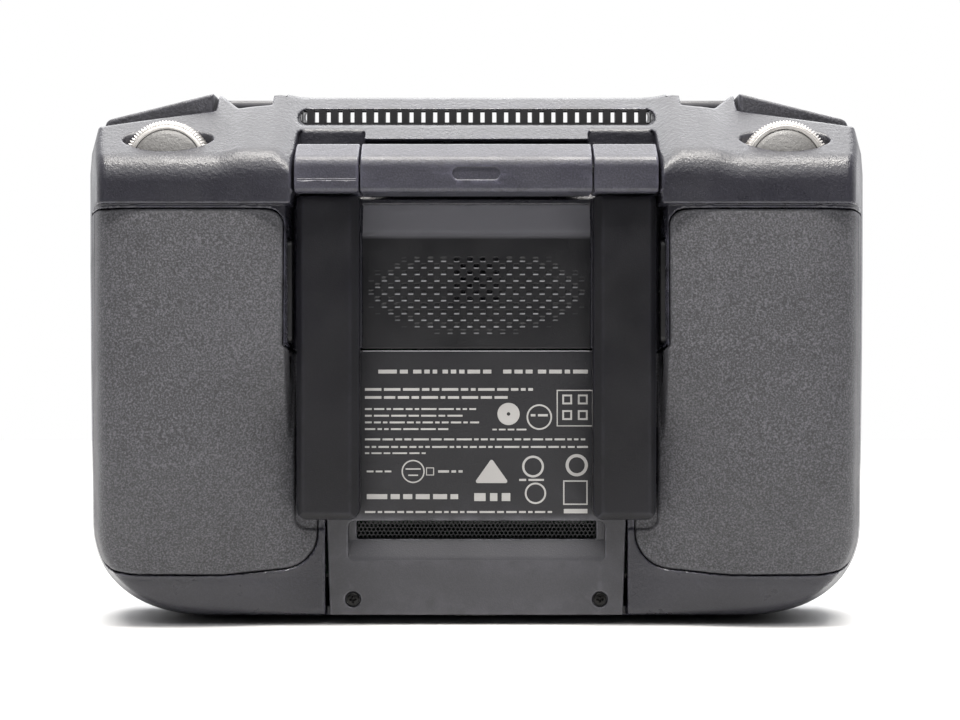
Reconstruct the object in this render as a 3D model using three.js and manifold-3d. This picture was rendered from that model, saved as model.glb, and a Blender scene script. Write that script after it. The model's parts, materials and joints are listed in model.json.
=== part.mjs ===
// A hand-held radio transmitter with a built-in touch screen, as a three.js scene graph.
// Millimetres. X runs across the set, Y from its back (-) to its screen (+), Z up from the flat foot.
// "left" and "right" are the sides of a person who holds the set and looks at the screen, so left is +X.
import * as THREE from "three";
import { mergeVertices } from "three/addons/utils/BufferGeometryUtils.js";
import Module from "manifold-3d";

const wasm = await Module();
wasm.setup();

// ---- driving dimensions -------------------------------------------------------------------------

const WIDTH = 177.5;
const HEIGHT = 121.3;
const HALF = WIDTH / 2;
const FRONT_Y = 10; // outer face of the screen glass
const BACK_Y = -30; // crown of the grips
const SPLIT_Y = 1; // where the front and rear casings meet
const WALL = 2.2;
const SEAM = 0.3; // clearance left between neighbouring pieces
const FACETS = 16; // sides of a round piece
const FLATNESS = 0.02; // faces that are flat to within this are joined

const BED_Y = -17.6; // flat bed on the back, under the aerials
const CORNER = { wide: 26.75, high: 17 }; // the elliptical lower corners of the outline
const SHOULDER_Z = 94.8; // underside of the shoulders
const CREST = 4.5; // how far the middle of the sloping top is set in
const SOCKETS = { x0: 46.6, x1: 57, z: 119.3 }; // the recess in the shoulders' tops
const FOOT = { y: -14, clear: 0.3 }; // the flat foot's back edge, and how far the rear casing clears it
const SLOPE = { y: -26, z: 105, rise: 0.8 }; // a point on the shoulders' sloping top, and its rise per mm

const AERIAL = { x0: 25.6, x1: 39.6, tip: 24.3, outer: -24.9, inner: -18.2 };
const KNUCKLE = { y: -22, z: 101.6, half: 5.6, radius: 2.4 };
const BAY = { half: 40.2, z0: 94.4, z1: 108.9, y: -14.6 }; // recess that the hinge bar sits in
const PANEL = { half: 33.6, top: 61.8, y0: -17, y1: -14.6 };

const STICK = { x: 66, y: -2, z: 92.3, dome: 12, length: 29.2 };
const DIAL = { x: 68.5, y: -19.6, z: 102.8, radius: 10, wide: 4.4, teeth: 36 };
const TRIGGER = { x0: 60.4, x1: 85.4, y0: -9, y1: 5 };
const VENT = { half: 40.4, z0: 113, z1: 116.9, fins: 30, tilt: 0.15 };
const GLASS = { half: 67, z0: 3.6, z1: 77.4, thick: 1.2 };
const PORT = { x: 51, y: -2.8, depth: 11.5 };
const CELL = { r: 9.1, length: 63, xs: [56.2, 75], y: -7.4, z: 13.4 };

// ---- shape helpers ------------------------------------------------------------------------------

/** A closed three.js geometry as a manifold solid. */
function solid(geometry) {
  const g = geometry.clone();
  g.deleteAttribute("normal");
  g.deleteAttribute("uv");
  const merged = mergeVertices(g, 1e-4);
  return new wasm.Manifold(
    new wasm.Mesh({
      numProp: 3,
      vertProperties: new Float32Array(merged.attributes.position.array),
      triVerts: new Uint32Array(merged.index.array),
    }),
  );
}

/** A manifold solid as a three.js geometry. */
function geometryOf(shape) {
  const m = shape.getMesh();
  const points = new Float32Array(m.numVert * 3);
  for (let i = 0; i < m.numVert; i++)
    points.set(m.vertProperties.subarray(i * m.numProp, i * m.numProp + 3), i * 3);
  const g = new THREE.BufferGeometry();
  g.setAttribute("position", new THREE.BufferAttribute(points, 3));
  g.setIndex(new THREE.BufferAttribute(m.triVerts, 1));
  g.computeVertexNormals();
  return g;
}

function box(x0, x1, y0, y1, z0, z1) {
  const g = new THREE.BoxGeometry(x1 - x0, y1 - y0, z1 - z0);
  return solid(g.translate((x0 + x1) / 2, (y0 + y1) / 2, (z0 + z1) / 2));
}

/** A shape drawn in (x, z), extruded from y0 to y1. */
function alongY(shape, y0, y1, bevel = 0) {
  const g = new THREE.ExtrudeGeometry(shape, {
    depth: y1 - y0 - 2 * bevel,
    curveSegments: FACETS / 4,
    bevelEnabled: bevel > 0,
    bevelThickness: bevel,
    bevelSize: bevel,
    bevelOffset: -bevel,
    bevelSegments: 1,
  });
  return solid(g.rotateX(Math.PI / 2).translate(0, y1 - bevel, 0));
}

/** A shape drawn in (y, z), extruded from x0 to x1. */
function alongX(shape, x0, x1, bevel = 0) {
  const g = new THREE.ExtrudeGeometry(shape, {
    depth: x1 - x0 - 2 * bevel,
    curveSegments: FACETS / 4,
    bevelEnabled: bevel > 0,
    bevelThickness: bevel,
    bevelSize: bevel,
    bevelOffset: -bevel,
    bevelSegments: 1,
  });
  const turn = new THREE.Matrix4().makeBasis(
    new THREE.Vector3(0, 1, 0),
    new THREE.Vector3(0, 0, 1),
    new THREE.Vector3(1, 0, 0),
  );
  return solid(g.applyMatrix4(turn).translate(x0 + bevel, 0, 0));
}

const AXES = {
  x: (g) => g.rotateZ(-Math.PI / 2),
  y: (g) => g,
  z: (g) => g.rotateX(Math.PI / 2),
};

/** A round bar or cone centred on a point, along one axis. */
function rod(axis, [x, y, z], radius, length, end = radius, sides = FACETS) {
  const g = new THREE.CylinderGeometry(end, radius, length, sides);
  return solid(AXES[axis](g).translate(x, y, z));
}

/** A closed outline from corners [a, b, radius], each corner rounded by its radius. */
function rounded(corners) {
  const shape = new THREE.Shape();
  corners.forEach(([a, b, r = 0], i) => {
    const here = new THREE.Vector2(a, b);
    const [pa, pb] = corners[(i + corners.length - 1) % corners.length];
    const [na, nb] = corners[(i + 1) % corners.length];
    const back = new THREE.Vector2(pa, pb).sub(here).normalize();
    const on = new THREE.Vector2(na, nb).sub(here).normalize();
    const reach = r / Math.tan(back.angleTo(on) / 2);
    const from = here.clone().addScaledVector(back, reach);
    const to = here.clone().addScaledVector(on, reach);
    if (i === 0) shape.moveTo(from.x, from.y);
    else shape.lineTo(from.x, from.y);
    if (r > 0) shape.quadraticCurveTo(here.x, here.y, to.x, to.y);
  });
  return shape;
}

const rectangle = (a0, a1, b0, b1, r = 0) =>
  rounded([
    [a0, b0, r],
    [a1, b0, r],
    [a1, b1, r],
    [a0, b1, r],
  ]);

const mirrored = (shape) => shape.mirror([1, 0, 0]);
const both = (shape) => shape.add(mirrored(shape));
const join = (...shapes) => shapes.reduce((a, b) => a.add(b));
const cut = (shape, ...tools) => tools.reduce((a, b) => a.subtract(b), shape);

// ---- the casing's form --------------------------------------------------------------------------

/** The outline of the set seen from the back, pulled in by an inset. */
function outline(inset) {
  const half = HALF - inset;
  const wide = CORNER.wide - inset;
  const high = CORNER.high - inset;
  const top = HEIGHT - inset;
  const right = [];
  for (let i = 0; i <= 7; i++) {
    const a = (i / 7) * (Math.PI / 2);
    right.push([half - wide + wide * Math.sin(a), inset + high * (1 - Math.cos(a))]);
  }
  right.push([half, 103.4], [half - 0.6, 107.4], [half - 1.8, 110.9 - inset]);
  right.push([60.3, 116.6 - inset], [60, top]);
  const left = right.map(([x, z]) => [-x, z]).reverse();
  const s = new THREE.Shape();
  [...right, ...left].forEach(([x, z], i) => (i ? s.lineTo(x, z) : s.moveTo(x, z)));
  return s;
}

const smooth = (t) => {
  const c = Math.min(1, Math.max(0, t));
  return c * c * (3 - 2 * c);
};
const mix = (a, b, t) => a + (b - a) * t;

/** How far the back of the set stands behind Y = 0, below the shoulders. */
function backDepth(x, z) {
  const a = Math.abs(x);
  const low = 1 - Math.min(11, Math.max(0, z)) / 11;
  const foot = -FOOT.y + (21.5 + FOOT.y) * Math.sqrt(1 - low ** 2);
  const rise = mix(21.5, -BACK_Y, Math.sin((Math.PI / 2) * Math.min(1, Math.max(0, (z - 11) / 34))));
  const crown = z < 11 ? foot : rise - 1.6 * smooth((z - 72) / 22);
  const gentle = smooth((a - 33) / 29);
  const steep = 0.78 * smooth((a - 40.6) / 1.8) + 0.22 * smooth((a - 42) / 20);
  const across = mix(gentle, steep, smooth((z - 54) / 9));
  const edge = Math.max(0, (a - 69) / 20.6);
  const side = (1 - edge ** 2.6) ** (1 / 2.6);
  const bed = -BED_Y;
  return crown <= bed ? crown : bed + (crown - bed) * across * side;
}

/** A solid from Y = front to the back surface, less a skin, over a grid of stations. */
function backSolid(xs, zs, front, skin) {
  const points = [];
  for (const z of zs)
    for (const x of xs) points.push([x, skin - backDepth(x, z), z], [x, front, z]);
  const at = (i, j, f) => 2 * (j * xs.length + i) + f;
  const faces = [];
  const quad = (a, b, c, d) => faces.push(a, b, c, a, c, d);
  for (let j = 0; j < zs.length - 1; j++)
    for (let i = 0; i < xs.length - 1; i++) {
      quad(at(i, j, 0), at(i + 1, j, 0), at(i + 1, j + 1, 0), at(i, j + 1, 0));
      quad(at(i, j, 1), at(i, j + 1, 1), at(i + 1, j + 1, 1), at(i + 1, j, 1));
    }
  const last = { i: xs.length - 1, j: zs.length - 1 };
  for (let i = 0; i < last.i; i++) {
    quad(at(i, 0, 0), at(i, 0, 1), at(i + 1, 0, 1), at(i + 1, 0, 0));
    quad(at(i, last.j, 0), at(i + 1, last.j, 0), at(i + 1, last.j, 1), at(i, last.j, 1));
  }
  for (let j = 0; j < last.j; j++) {
    quad(at(0, j, 0), at(0, j + 1, 0), at(0, j + 1, 1), at(0, j, 1));
    quad(at(last.i, j, 0), at(last.i, j, 1), at(last.i, j + 1, 1), at(last.i, j + 1, 0));
  }
  const g = new THREE.BufferGeometry();
  g.setAttribute("position", new THREE.Float32BufferAttribute(points.flat(), 3));
  g.setIndex(faces);
  return solid(g);
}

/** Stations from a to b, evenly spaced, both ends included. */
const stations = (a, b, n) => Array.from({ length: n + 1 }, (_, i) => a + ((b - a) * i) / n);
const symmetric = (xs) => [...xs.map((x) => -x).reverse(), ...xs];

const ACROSS = [33, 38, 40.4, 41.5, 42.6, 48, 56, 64, 72, 80, 86, 89];
const UP = [-0.1, 1.2, 3.4, 7, 11, 17, 25, 36, 50, 56, 62, 75, 86, 95];
const ACROSS_INSIDE = [32, 40, 44.6, 54, 66, 76, 86];
const UP_INSIDE = [1.8, 4, 9, 14, 24, 40, 52, 62, 78, 95];

/** The section (y, z) of the shoulders, pulled in by an inset. */
function shoulderSection(inset) {
  const at = (z) => SLOPE.y + (z - SLOPE.z) / SLOPE.rise + inset * 1.28;
  return rounded([
    [SPLIT_Y + 20, SHOULDER_Z + inset - 3, 0],
    [SPLIT_Y + 20, HEIGHT + 2, 0],
    [at(HEIGHT + 2), HEIGHT + 2, 0],
    [at(103.6 - inset * 0.3), 103.6 - inset * 0.3, inset ? 0.6 : 2.6],
    [-27.7 + inset, SHOULDER_Z + inset - 3, 0],
  ]);
}

/** The section (y, z) behind and above the hinge bar, pulled in by an inset. */
function crestSection(inset) {
  const at = (z) => SLOPE.y + CREST + (z - SLOPE.z) / SLOPE.rise + inset * 1.28;
  return rounded([
    [SPLIT_Y + 20, SHOULDER_Z - 4],
    [SPLIT_Y + 20, HEIGHT + 2],
    [at(HEIGHT + 2), HEIGHT + 2],
    [at(106), 106],
    [at(106), SHOULDER_Z - 4],
  ]);
}

/** What the bevel on a shoulder's inner edge takes away: a wedge along the slope. */
function shoulderBevel() {
  const wedge = rounded([
    [38, 0.6],
    [46.2, 0.6],
    [40.4, -3.2],
    [38, -3.2],
  ]);
  const run = alongY(wedge, -30, 30);
  const tilt = (Math.atan(SLOPE.rise) * 180) / Math.PI;
  return run.rotate([tilt, 0, 0]).translate([0, SLOPE.y, SLOPE.z]);
}

/** The recess in the shoulders' tops that the sockets open into. */
const socketRecess = () =>
  both(
    alongY(
      rounded([
        [SOCKETS.x0, HEIGHT + 1],
        [SOCKETS.x0 + 0.8, SOCKETS.z],
        [SOCKETS.x1 - 2, SOCKETS.z],
        [SOCKETS.x1 + 2.6, HEIGHT + 1],
      ]),
      BACK_Y,
      SPLIT_Y - SEAM,
    ),
  );

/** The outside of the casing with an inset: 0 for the skin, WALL for the hollow. */
function casingForm(inset) {
  const xs = symmetric(inset ? ACROSS_INSIDE : ACROSS);
  const lower = backSolid(xs, inset ? UP_INSIDE : UP, FRONT_Y + 2, inset);
  const blank = alongX(shoulderSection(inset), 40.6 + inset, HALF);
  const shoulder = inset ? blank : cut(blank, shoulderBevel());
  const crest = alongX(crestSection(inset), -41 - inset, 41 + inset);
  const end = inset ? FRONT_Y - WALL : FRONT_Y;
  const prism = alongY(outline(inset), BACK_Y - 1, end);
  return join(lower, both(shoulder), crest).intersect(prism);
}

/** The front's upper edge leans back, which thins the crest above the buttons. */
function frontLean(inset) {
  const corner = rounded([
    [FRONT_Y + 1, 109 - inset],
    [FRONT_Y - 7.5 - inset, HEIGHT + 1],
    [FRONT_Y + 1, HEIGHT + 1],
  ]);
  return alongX(corner, -HALF - 1, HALF + 1);
}

/** Where the aerials lie, the hinge bar sits and the knuckles turn, grown by a margin. */
function aerialBay(grow) {
  const g = grow;
  const back = BACK_Y - 5;
  const bed = both(box(AERIAL.x0 - 0.4 - g, 40.4 + g, back, BED_Y + g, AERIAL.tip - 2.4 - g, 111 + g));
  const middle = box(-26 - g, 26 + g, back, PANEL.y0 + g, -1, 94 + g);
  const bar = box(-BAY.half - g, BAY.half + g, back, BAY.y + g, BAY.z0 - g, BAY.z1 + g);
  return join(bed, middle, bar);
}

/** The notches above the knuckles, clear of the blades when they stand up. */
const notchCut = (grow) =>
  both(box(25.2 - grow, 40.3 + grow, BACK_Y, -13.2 + grow, 106, 111.3 + grow));

/** The pockets beside the shoulders' tops that the two trigger buttons press into. */
function triggerPocket(grow) {
  const g = grow;
  const section = rounded([
    [TRIGGER.x0 - 0.4 - g, 113.8 - g],
    [TRIGGER.x1 + 0.4 + g, 107.4 - g],
    [TRIGGER.x1 + 0.4 + g, HEIGHT + 2],
    [TRIGGER.x0 - 0.4 - g, HEIGHT + 2],
  ]);
  return both(alongY(section, TRIGGER.y0 - 0.4 - g, TRIGGER.y1 + 0.4 + g));
}

/** Slots in the shoulders' tops that the two dials stand out of. */
const dialSlot = () =>
  both(rod("y", [DIAL.x, DIAL.y, DIAL.z], DIAL.radius + 0.9, DIAL.wide + 1, DIAL.radius + 0.9, 32));

/** The air outlet, a long slot that rises a little as it runs forwards through the crest. */
function ventSlot(grow) {
  const rise = (y) => (y + 9) * VENT.tilt;
  const section = rounded([
    [-20, VENT.z0 - grow + rise(-20)],
    [FRONT_Y + 2, VENT.z0 - grow + rise(FRONT_Y + 2)],
    [FRONT_Y + 2, VENT.z1 + grow + rise(FRONT_Y + 2)],
    [-20, VENT.z1 + grow + rise(-20)],
  ]);
  return alongX(section, -VENT.half - grow, VENT.half + grow);
}

/** The stadium pockets under the aerials that hold a pair of unscrewed sticks. */
const stickPocket = (grow) =>
  both(alongY(rectangle(28 - grow, 38.2 + grow, 66 - grow, 90 + grow, 5), BED_Y - 1, -8.2 + grow));

/** Mouths of the two sockets in the top edge. */
function portMouth(grow) {
  const { x, y, depth } = PORT;
  const wide = 7 + grow;
  const deep = 3 + grow;
  return both(box(x - wide, x + wide, y - deep, y + deep, HEIGHT - depth - grow, HEIGHT + 1));
}

// ---- materials ----------------------------------------------------------------------------------

const finish = (color, roughness, metalness = 0, extra = {}) =>
  new THREE.MeshStandardMaterial({ color, roughness, metalness, ...extra });

const MATERIALS = {
  casing: finish(0x3c3b40, 0.5),
  grip: finish(0x48474a, 0.75),
  aerial: finish(0x2c2b31, 0.6),
  panel: finish(0x3a393e, 0.6),
  dial: finish(0xd8d6cf, 0.3, 0.9),
  glass: finish(0x08080a, 0.06),
  black: finish(0x141416, 0.5),
  screw: finish(0x202124, 0.35, 0.8),
  steel: finish(0xb4b5b8, 0.3, 1),
  alloy: finish(0x9fa2a6, 0.4, 1),
  circuit: finish(0x17402b, 0.5),
  cell: finish(0x3b5f8a, 0.4),
  light: finish(0xe8ecef, 0.25),
};

const transmitter = new THREE.Group();
transmitter.name = "radio_transmitter";

/** Adds one named piece to the set. */
function piece(name, shape, material) {
  const mesh = new THREE.Mesh(geometryOf(shape.simplify(FLATNESS)), MATERIALS[material]);
  mesh.name = name;
  transmitter.add(mesh);
}

/** Adds a piece made for the left (+X) side, and its mirror image on the right. */
function pair(stem, shape, material) {
  piece(`${stem}_left`, shape, material);
  piece(`${stem}_right`, mirrored(shape), material);
}

// ---- casings ------------------------------------------------------------------------------------

/** The outline (x, z) of a grip cover, pulled in by an inset. */
function gripOutline(inset) {
  const i = inset;
  return rounded([
    [42.6 + i, 92.6 - i, 3],
    [42.6 + i, 62 - i, 1],
    [35.8 + i, 58.4 - i, 1],
    [35.8 + i, 20 + i, 7],
    [52, 12.9 + i, 14],
    [78, 12.1 + i, 10],
    [HALF + 1, 14.6 + i, 0],
    [HALF + 1, 92.6 - i, 0],
  ]);
}

const GRIP_THICK = 2;
const GRIP_ACROSS = [33, 38, 41, 42.4, 47, 54, 62, 70, 77, 82, 85.8, 88.2, 89.2];
const GRIP_UP = [7, 12, 17, 24, 34, 46, 56, 62, 76, 96];

/** The casing under a grip cover. */
const gripBacking = () => backSolid([...GRIP_ACROSS.slice(0, -3), 85.2], GRIP_UP, 1, GRIP_THICK + SEAM);

function makeGrips() {
  const outer = backSolid(GRIP_ACROSS, GRIP_UP, 0, 0);
  const inner = backSolid([...GRIP_ACROSS.slice(0, -3), 85.5], GRIP_UP, 0, GRIP_THICK);
  const shape = cut(outer, inner, gripBacking().translate([-SEAM, 0, 0]))
    .intersect(alongY(gripOutline(0), BACK_Y - 1, -14))
    .intersect(alongY(outline(0), BACK_Y - 1, 0));
  const clear = cut(shape, aerialBay(0));
  const largest = clear.decompose().sort((a, b) => b.volume() - a.volume())[0];
  pair("grip_cover", largest, "grip");
}

function gripSeat() {
  const region = alongY(gripOutline(-SEAM), BACK_Y - 3, -13.6);
  return both(cut(region, gripBacking()));
}

function makeRearShell() {
  const rear = box(-HALF - 1, HALF + 1, BACK_Y - 2, SPLIT_Y - SEAM / 2, FOOT.clear, HEIGHT + 1);
  const form = cut(casingForm(0).intersect(rear), frontLean(0), aerialBay(0), gripSeat(), socketRecess());
  const above = both(box(SOCKETS.x0 - 1.5, SOCKETS.x1 + 2, -12, SPLIT_Y + 1, SOCKETS.z - 1.6, HEIGHT + 1));
  const notch = join(notchCut(1.4), triggerPocket(1.6), ventSlot(1.4), above);
  const pockets = join(aerialBay(WALL), notch, stickPocket(1.4), portMouth(1.2));
  const inset = backSolid(symmetric(ACROSS_INSIDE), UP_INSIDE, FRONT_Y, WALL + 2 + SEAM);
  const upper = cut(casingForm(WALL), box(-HALF, HALF, BACK_Y, FRONT_Y, -1, SHOULDER_Z - 3));
  const hollow = join(cut(upper, pockets, frontLean(1)), cut(inset.intersect(casingForm(WALL)), pockets));
  const panelHole = join(
    box(-PANEL.half - SEAM, PANEL.half + SEAM, BACK_Y, PANEL.y1 + SEAM, -1, PANEL.top + SEAM),
    box(-30, 30, BACK_Y, -8, 8, PANEL.top - 3),
  );
  const wallButton = both(
    join(box(39, 46, -22.9, -18.9, 63, 86.4), box(44.1, 47.4, -22.9, -16.6, 61.2, 88.2)),
  );
  const footHoles = join(
    both(rod("z", [36, -6, 4], 1.7, 12)),
    alongY(rectangle(-5, 5, -1, 2.4), -7.2, -3.4),
  );
  const shape = cut(
    form,
    hollow,
    panelHole,
    notchCut(0),
    triggerPocket(0),
    dialSlot(),
    ventSlot(0),
    stickPocket(0),
    portMouth(0),
    wallButton,
    footHoles,
    both(rod("y", [27.7, -12, 5.8], 1.15, 12)),
    ...speakerHoles(),
  );
  const main = shape.decompose().sort((a, b) => b.volume() - a.volume())[0];
  piece("rear_shell", main, "casing");
}

/** Small sound holes through the back wall, in rows of four and three. */
function speakerHoles() {
  const holes = [];
  for (let row = 0; row < 7; row++) {
    const n = row % 2 ? 3 : 4;
    for (let i = 0; i < n; i++) {
      const x = (i - (n - 1) / 2) * 2.95;
      holes.push(rod("y", [x, -16, 77.8 + (row - 3) * 1.5], 0.55, 6, 0.55, 6));
    }
  }
  return holes;
}

function frontHoles() {
  const { half, z0, z1, thick } = GLASS;
  const rim = rectangle(-half - 0.2, half + 0.2, z0 - 0.2, z1 + 0.2, 3);
  const screen = alongY(rim, FRONT_Y - thick - SEAM, FRONT_Y + 1);
  const window = box(-63, 63, SPLIT_Y - 1, FRONT_Y, 7, 74);
  const dishes = both(rod("y", [STICK.x, FRONT_Y - 1, STICK.z], 7.6, 4.4, 12.6, 24));
  const round = [
    [36, 104, 5.2],
    [36, 89, 4.2],
    [-36, 104, 5.2],
    [-36, 89, 5.4],
  ].map(([x, z, r]) => rod("y", [x, FRONT_Y, z], r, 12));
  const pills = both(alongY(rectangle(15.8, 24.2, 86.8, 91.2, 2), FRONT_Y - 6, FRONT_Y + 1));
  const slide = alongY(rectangle(-8.4, 8.4, 101.8, 106.2, 2), FRONT_Y - 6, FRONT_Y + 1);
  const light = box(-9.4, 9.4, FRONT_Y - 6, FRONT_Y + 1, 96.8, 98.4);
  return join(screen, window, dishes, pills, slide, light, ...round);
}

function makeFrontShell() {
  const front = box(-HALF - 1, HALF + 1, SPLIT_Y + SEAM / 2, FRONT_Y + 1, -1, HEIGHT + 1);
  const form = cut(casingForm(0).intersect(front), frontLean(0));
  const inside = alongY(outline(WALL), SPLIT_Y - 1, FRONT_Y - WALL);
  const kept = join(triggerPocket(1.6), ventSlot(1.4), frontLean(WALL));
  const shape = cut(form, cut(inside, kept), triggerPocket(0), ventSlot(0), frontHoles(), portMouth(0));
  const main = shape.decompose().sort((a, b) => b.volume() - a.volume())[0];
  piece("front_shell", main, "casing");
}

function makePanel() {
  const plate = alongX(
    rounded([
      [PANEL.y1, 0],
      [PANEL.y1, PANEL.top],
      [PANEL.y0, PANEL.top],
      [PANEL.y0, 2.4, 1],
      [PANEL.y0 + 0.9, 0],
    ]),
    -PANEL.half,
    PANEL.half,
  );
  const scoop = alongX(
    rounded([
      [PANEL.y0 - 1, 23.4],
      [PANEL.y1 + 1, 23.4],
      [PANEL.y1 + 1, 19.2],
      [PANEL.y1 - 0.6, 19],
      [PANEL.y0 - 0.6, 14.9],
      [PANEL.y0 - 1, 14.9],
    ]),
    -27,
    27,
  );
  const screws = both(join(rod("y", [27.7, -16, 5.8], 1.1, 6), rod("y", [27.7, -17.1, 5.8], 1.75, 2)));
  const under = both(box(25, 40, BACK_Y, BED_Y + 0.3, 21.9, 70));
  piece("centre_panel", cut(plate, scoop, screws, under), "panel");
  const mesh = [];
  for (let i = -9; i <= 9; i++) mesh.push(box(i * 2.8 - 1, i * 2.8 + 1, -16, -12, 19.8, 22.8));
  piece("air_intake_mesh", cut(box(-28.4, 28.4, -14, -13.2, 17.6, 25), ...mesh), "black");
}

// ---- aerials and hinge --------------------------------------------------------------------------

const knuckleSection = () => {
  const { y, z, half, radius } = KNUCKLE;
  return rectangle(y - half, y + half, z - half, z + half, radius);
};

function makeHinge() {
  const pinHole = (x0, x1) => rod("x", [(x0 + x1) / 2, KNUCKLE.y, KNUCKLE.z], 1.5, x1 - x0, 1.5, 16);
  const bar = alongX(knuckleSection(), -25.3, 25.3);
  const foot = box(-24, 24, -17.5, -14.9, 97.4, 106.6);
  piece("hinge_bar", cut(join(bar, foot), both(pinHole(17, 27))), "casing");
  const knuckle = alongX(knuckleSection(), 25.6, 39.7);
  pair("aerial_knuckle", cut(knuckle, pinHole(25, 36)), "casing");
  pair("hinge_pin", rod("x", [26.4, KNUCKLE.y, KNUCKLE.z], 1.25, 18, 1.25, 16), "steel");
}

function makeAerials() {
  const { x0, x1, tip, outer, inner } = AERIAL;
  const top = KNUCKLE.z - KNUCKLE.half - SEAM;
  const middle = (outer + inner) / 2;
  const face = rectangle(x0 + 0.1, x1, tip, top, 2.4);
  const cover = alongY(face, outer, middle + 0.1, 0.9);
  const lid = alongY(face, middle + 0.4, inner, 0.6);
  const well = box(x0 + 1.8, x1 - 1.7, middle - 1.7, middle + 2, tip + 2, top - 1.6);
  pair("aerial_cover", cut(cover, well), "aerial");
  pair("aerial_back", cut(lid, well), "aerial");
  pair("aerial_board", box(x0 + 2.2, x1 - 2.1, middle - 0.5, middle + 0.7, tip + 2.5, top - 2), "circuit");
}

// ---- sticks -------------------------------------------------------------------------------------

function makeSticks() {
  const { x, y, z, dome, length } = STICK;
  const centre = [x, y, z];
  const cavity = rod("y", [x, y, z], 12.7, 24, 12.7, 24);
  const trunnion = (axis, r) => rod(axis, centre, r, 30, r, 12);
  const base = cut(
    box(x - 13.5, x + 13.5, y - 12.6, y + 5, z - 13.4, z + 13.4),
    cavity.translate([0, 1.2, 0]),
    trunnion("x", 1.5),
  );
  pair("gimbal_base", base, "black");
  const ring = cut(
    join(rod("y", centre, 10.2, 4, 10.2, 20), rod("x", centre, 1.2, 26, 1.2, 12)),
    rod("y", centre, 7, 6, 7, 16),
    trunnion("z", 1.5),
  );
  pair("gimbal_ring", ring, "alloy");
  const cap = new THREE.SphereGeometry(dome, 20, 14).rotateX(Math.PI / 2);
  const inside = new THREE.SphereGeometry(dome - 1.3, 12, 8).rotateX(Math.PI / 2);
  const bowl = cut(solid(cap).translate(centre), solid(inside).translate(centre));
  const kept = bowl.intersect(box(x - 14, x + 14, y + 6, y + 14, z - 14, z + 14));
  const post = rod("y", [x, y + 5.2, z], 2, 13, 2, 16);
  const axle = rod("z", centre, 1.2, 19.6, 1.2, 16);
  const socket = rod("y", [x, y + dome + 2.1, z], 1.5, 5, 1.5, 16);
  pair("stick_dome", join(kept, post, axle, socket), "black");
  const start = y + dome + 0.4;
  const profile = [
    [0, start + 4.8],
    [1.8, start + 4.8],
    [1.8, start],
    [2.4, start],
    [2.6, start + 2],
    [2.4, start + 7],
    [2.6, start + 11],
    [4.2, start + 15],
    [4.3, y + length + 1.4],
    [3.4, y + length + 2.8],
    [0, y + length + 2],
  ].map(([r, h]) => new THREE.Vector2(r, h));
  const turned = solid(new THREE.LatheGeometry(profile, 16));
  const up = turned.volume() < 0 ? solid(new THREE.LatheGeometry([...profile].reverse(), 16)) : turned;
  pair("control_stick", up.translate([x, 0, z]), "alloy");
}

// ---- dials, triggers and buttons ----------------------------------------------------------------

function makeDials() {
  const { x, y, z, radius, wide, teeth } = DIAL;
  const rim = new THREE.Shape();
  for (let i = 0; i < teeth * 2; i++) {
    const a = (i / teeth) * Math.PI;
    const r = i % 2 ? radius : radius - 0.45;
    if (i) rim.lineTo(x + r * Math.cos(a), z + r * Math.sin(a));
    else rim.moveTo(x + r, z);
  }
  const wheel = cut(
    alongY(rim, y - wide / 2, y + wide / 2),
    rod("y", [x, y - wide / 2, z], 7.6, 1.2, 7.6, 24),
  );
  const dial = join(wheel, rod("y", [x, y + 2, z], 1.3, wide, 1.3, 12));
  piece("gimbal_dial", dial, "dial");
  piece("camera_dial", mirrored(dial), "dial");
}

function makeTriggers() {
  const { x0, x1, y0, y1 } = TRIGGER;
  const section = rounded([
    [x0, 115.4],
    [x1, 110.4],
    [x1, 114.6, 1],
    [x0, 120.8],
  ]);
  const cap = alongY(section, y0, y1);
  piece("record_trigger", cap, "aerial");
  piece("shutter_trigger", mirrored(cap), "aerial");
}

/** A round button in the front, with a hidden collar that keeps it in. */
function roundButton(x, z, r) {
  const head = rod("y", [x, FRONT_Y - 1.6, z], r, 4.2, r - 0.3, 24);
  return join(head, rod("y", [x, FRONT_Y - 3.9, z], r + 0.8, 1, r + 0.8, 24));
}

function makeFrontButtons() {
  piece("home_button", roundButton(36, 104, 4.8), "aerial");
  piece("pause_button", roundButton(36, 89, 3.8), "aerial");
  piece("power_button", roundButton(-36, 104, 4.8), "aerial");
  const pill = (x) =>
    join(
      alongY(rectangle(x - 3.8, x + 3.8, 87.2, 90.8, 1.8), FRONT_Y - 3.6, FRONT_Y + 0.5, 0.3),
      box(x - 4.8, x + 4.8, FRONT_Y - 4.2, FRONT_Y - 3.2, 86.4, 91.6),
    );
  piece("back_button", pill(20), "aerial");
  piece("confirm_button", pill(-20), "aerial");
  const slider = join(
    alongY(rectangle(-3.4, 3.4, 102.2, 105.8, 1.6), FRONT_Y - 3.4, FRONT_Y + 1.4, 0.4),
    box(-6.4, 6.4, FRONT_Y - 4, FRONT_Y - 3, 100.6, 107.4),
  );
  piece("mode_switch", slider, "aerial");
  piece("status_light", box(-9.1, 9.1, FRONT_Y - 3.4, FRONT_Y - 0.1, 97.1, 98.1), "light");
  makeFiveWay(-36, 89);
}

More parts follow.
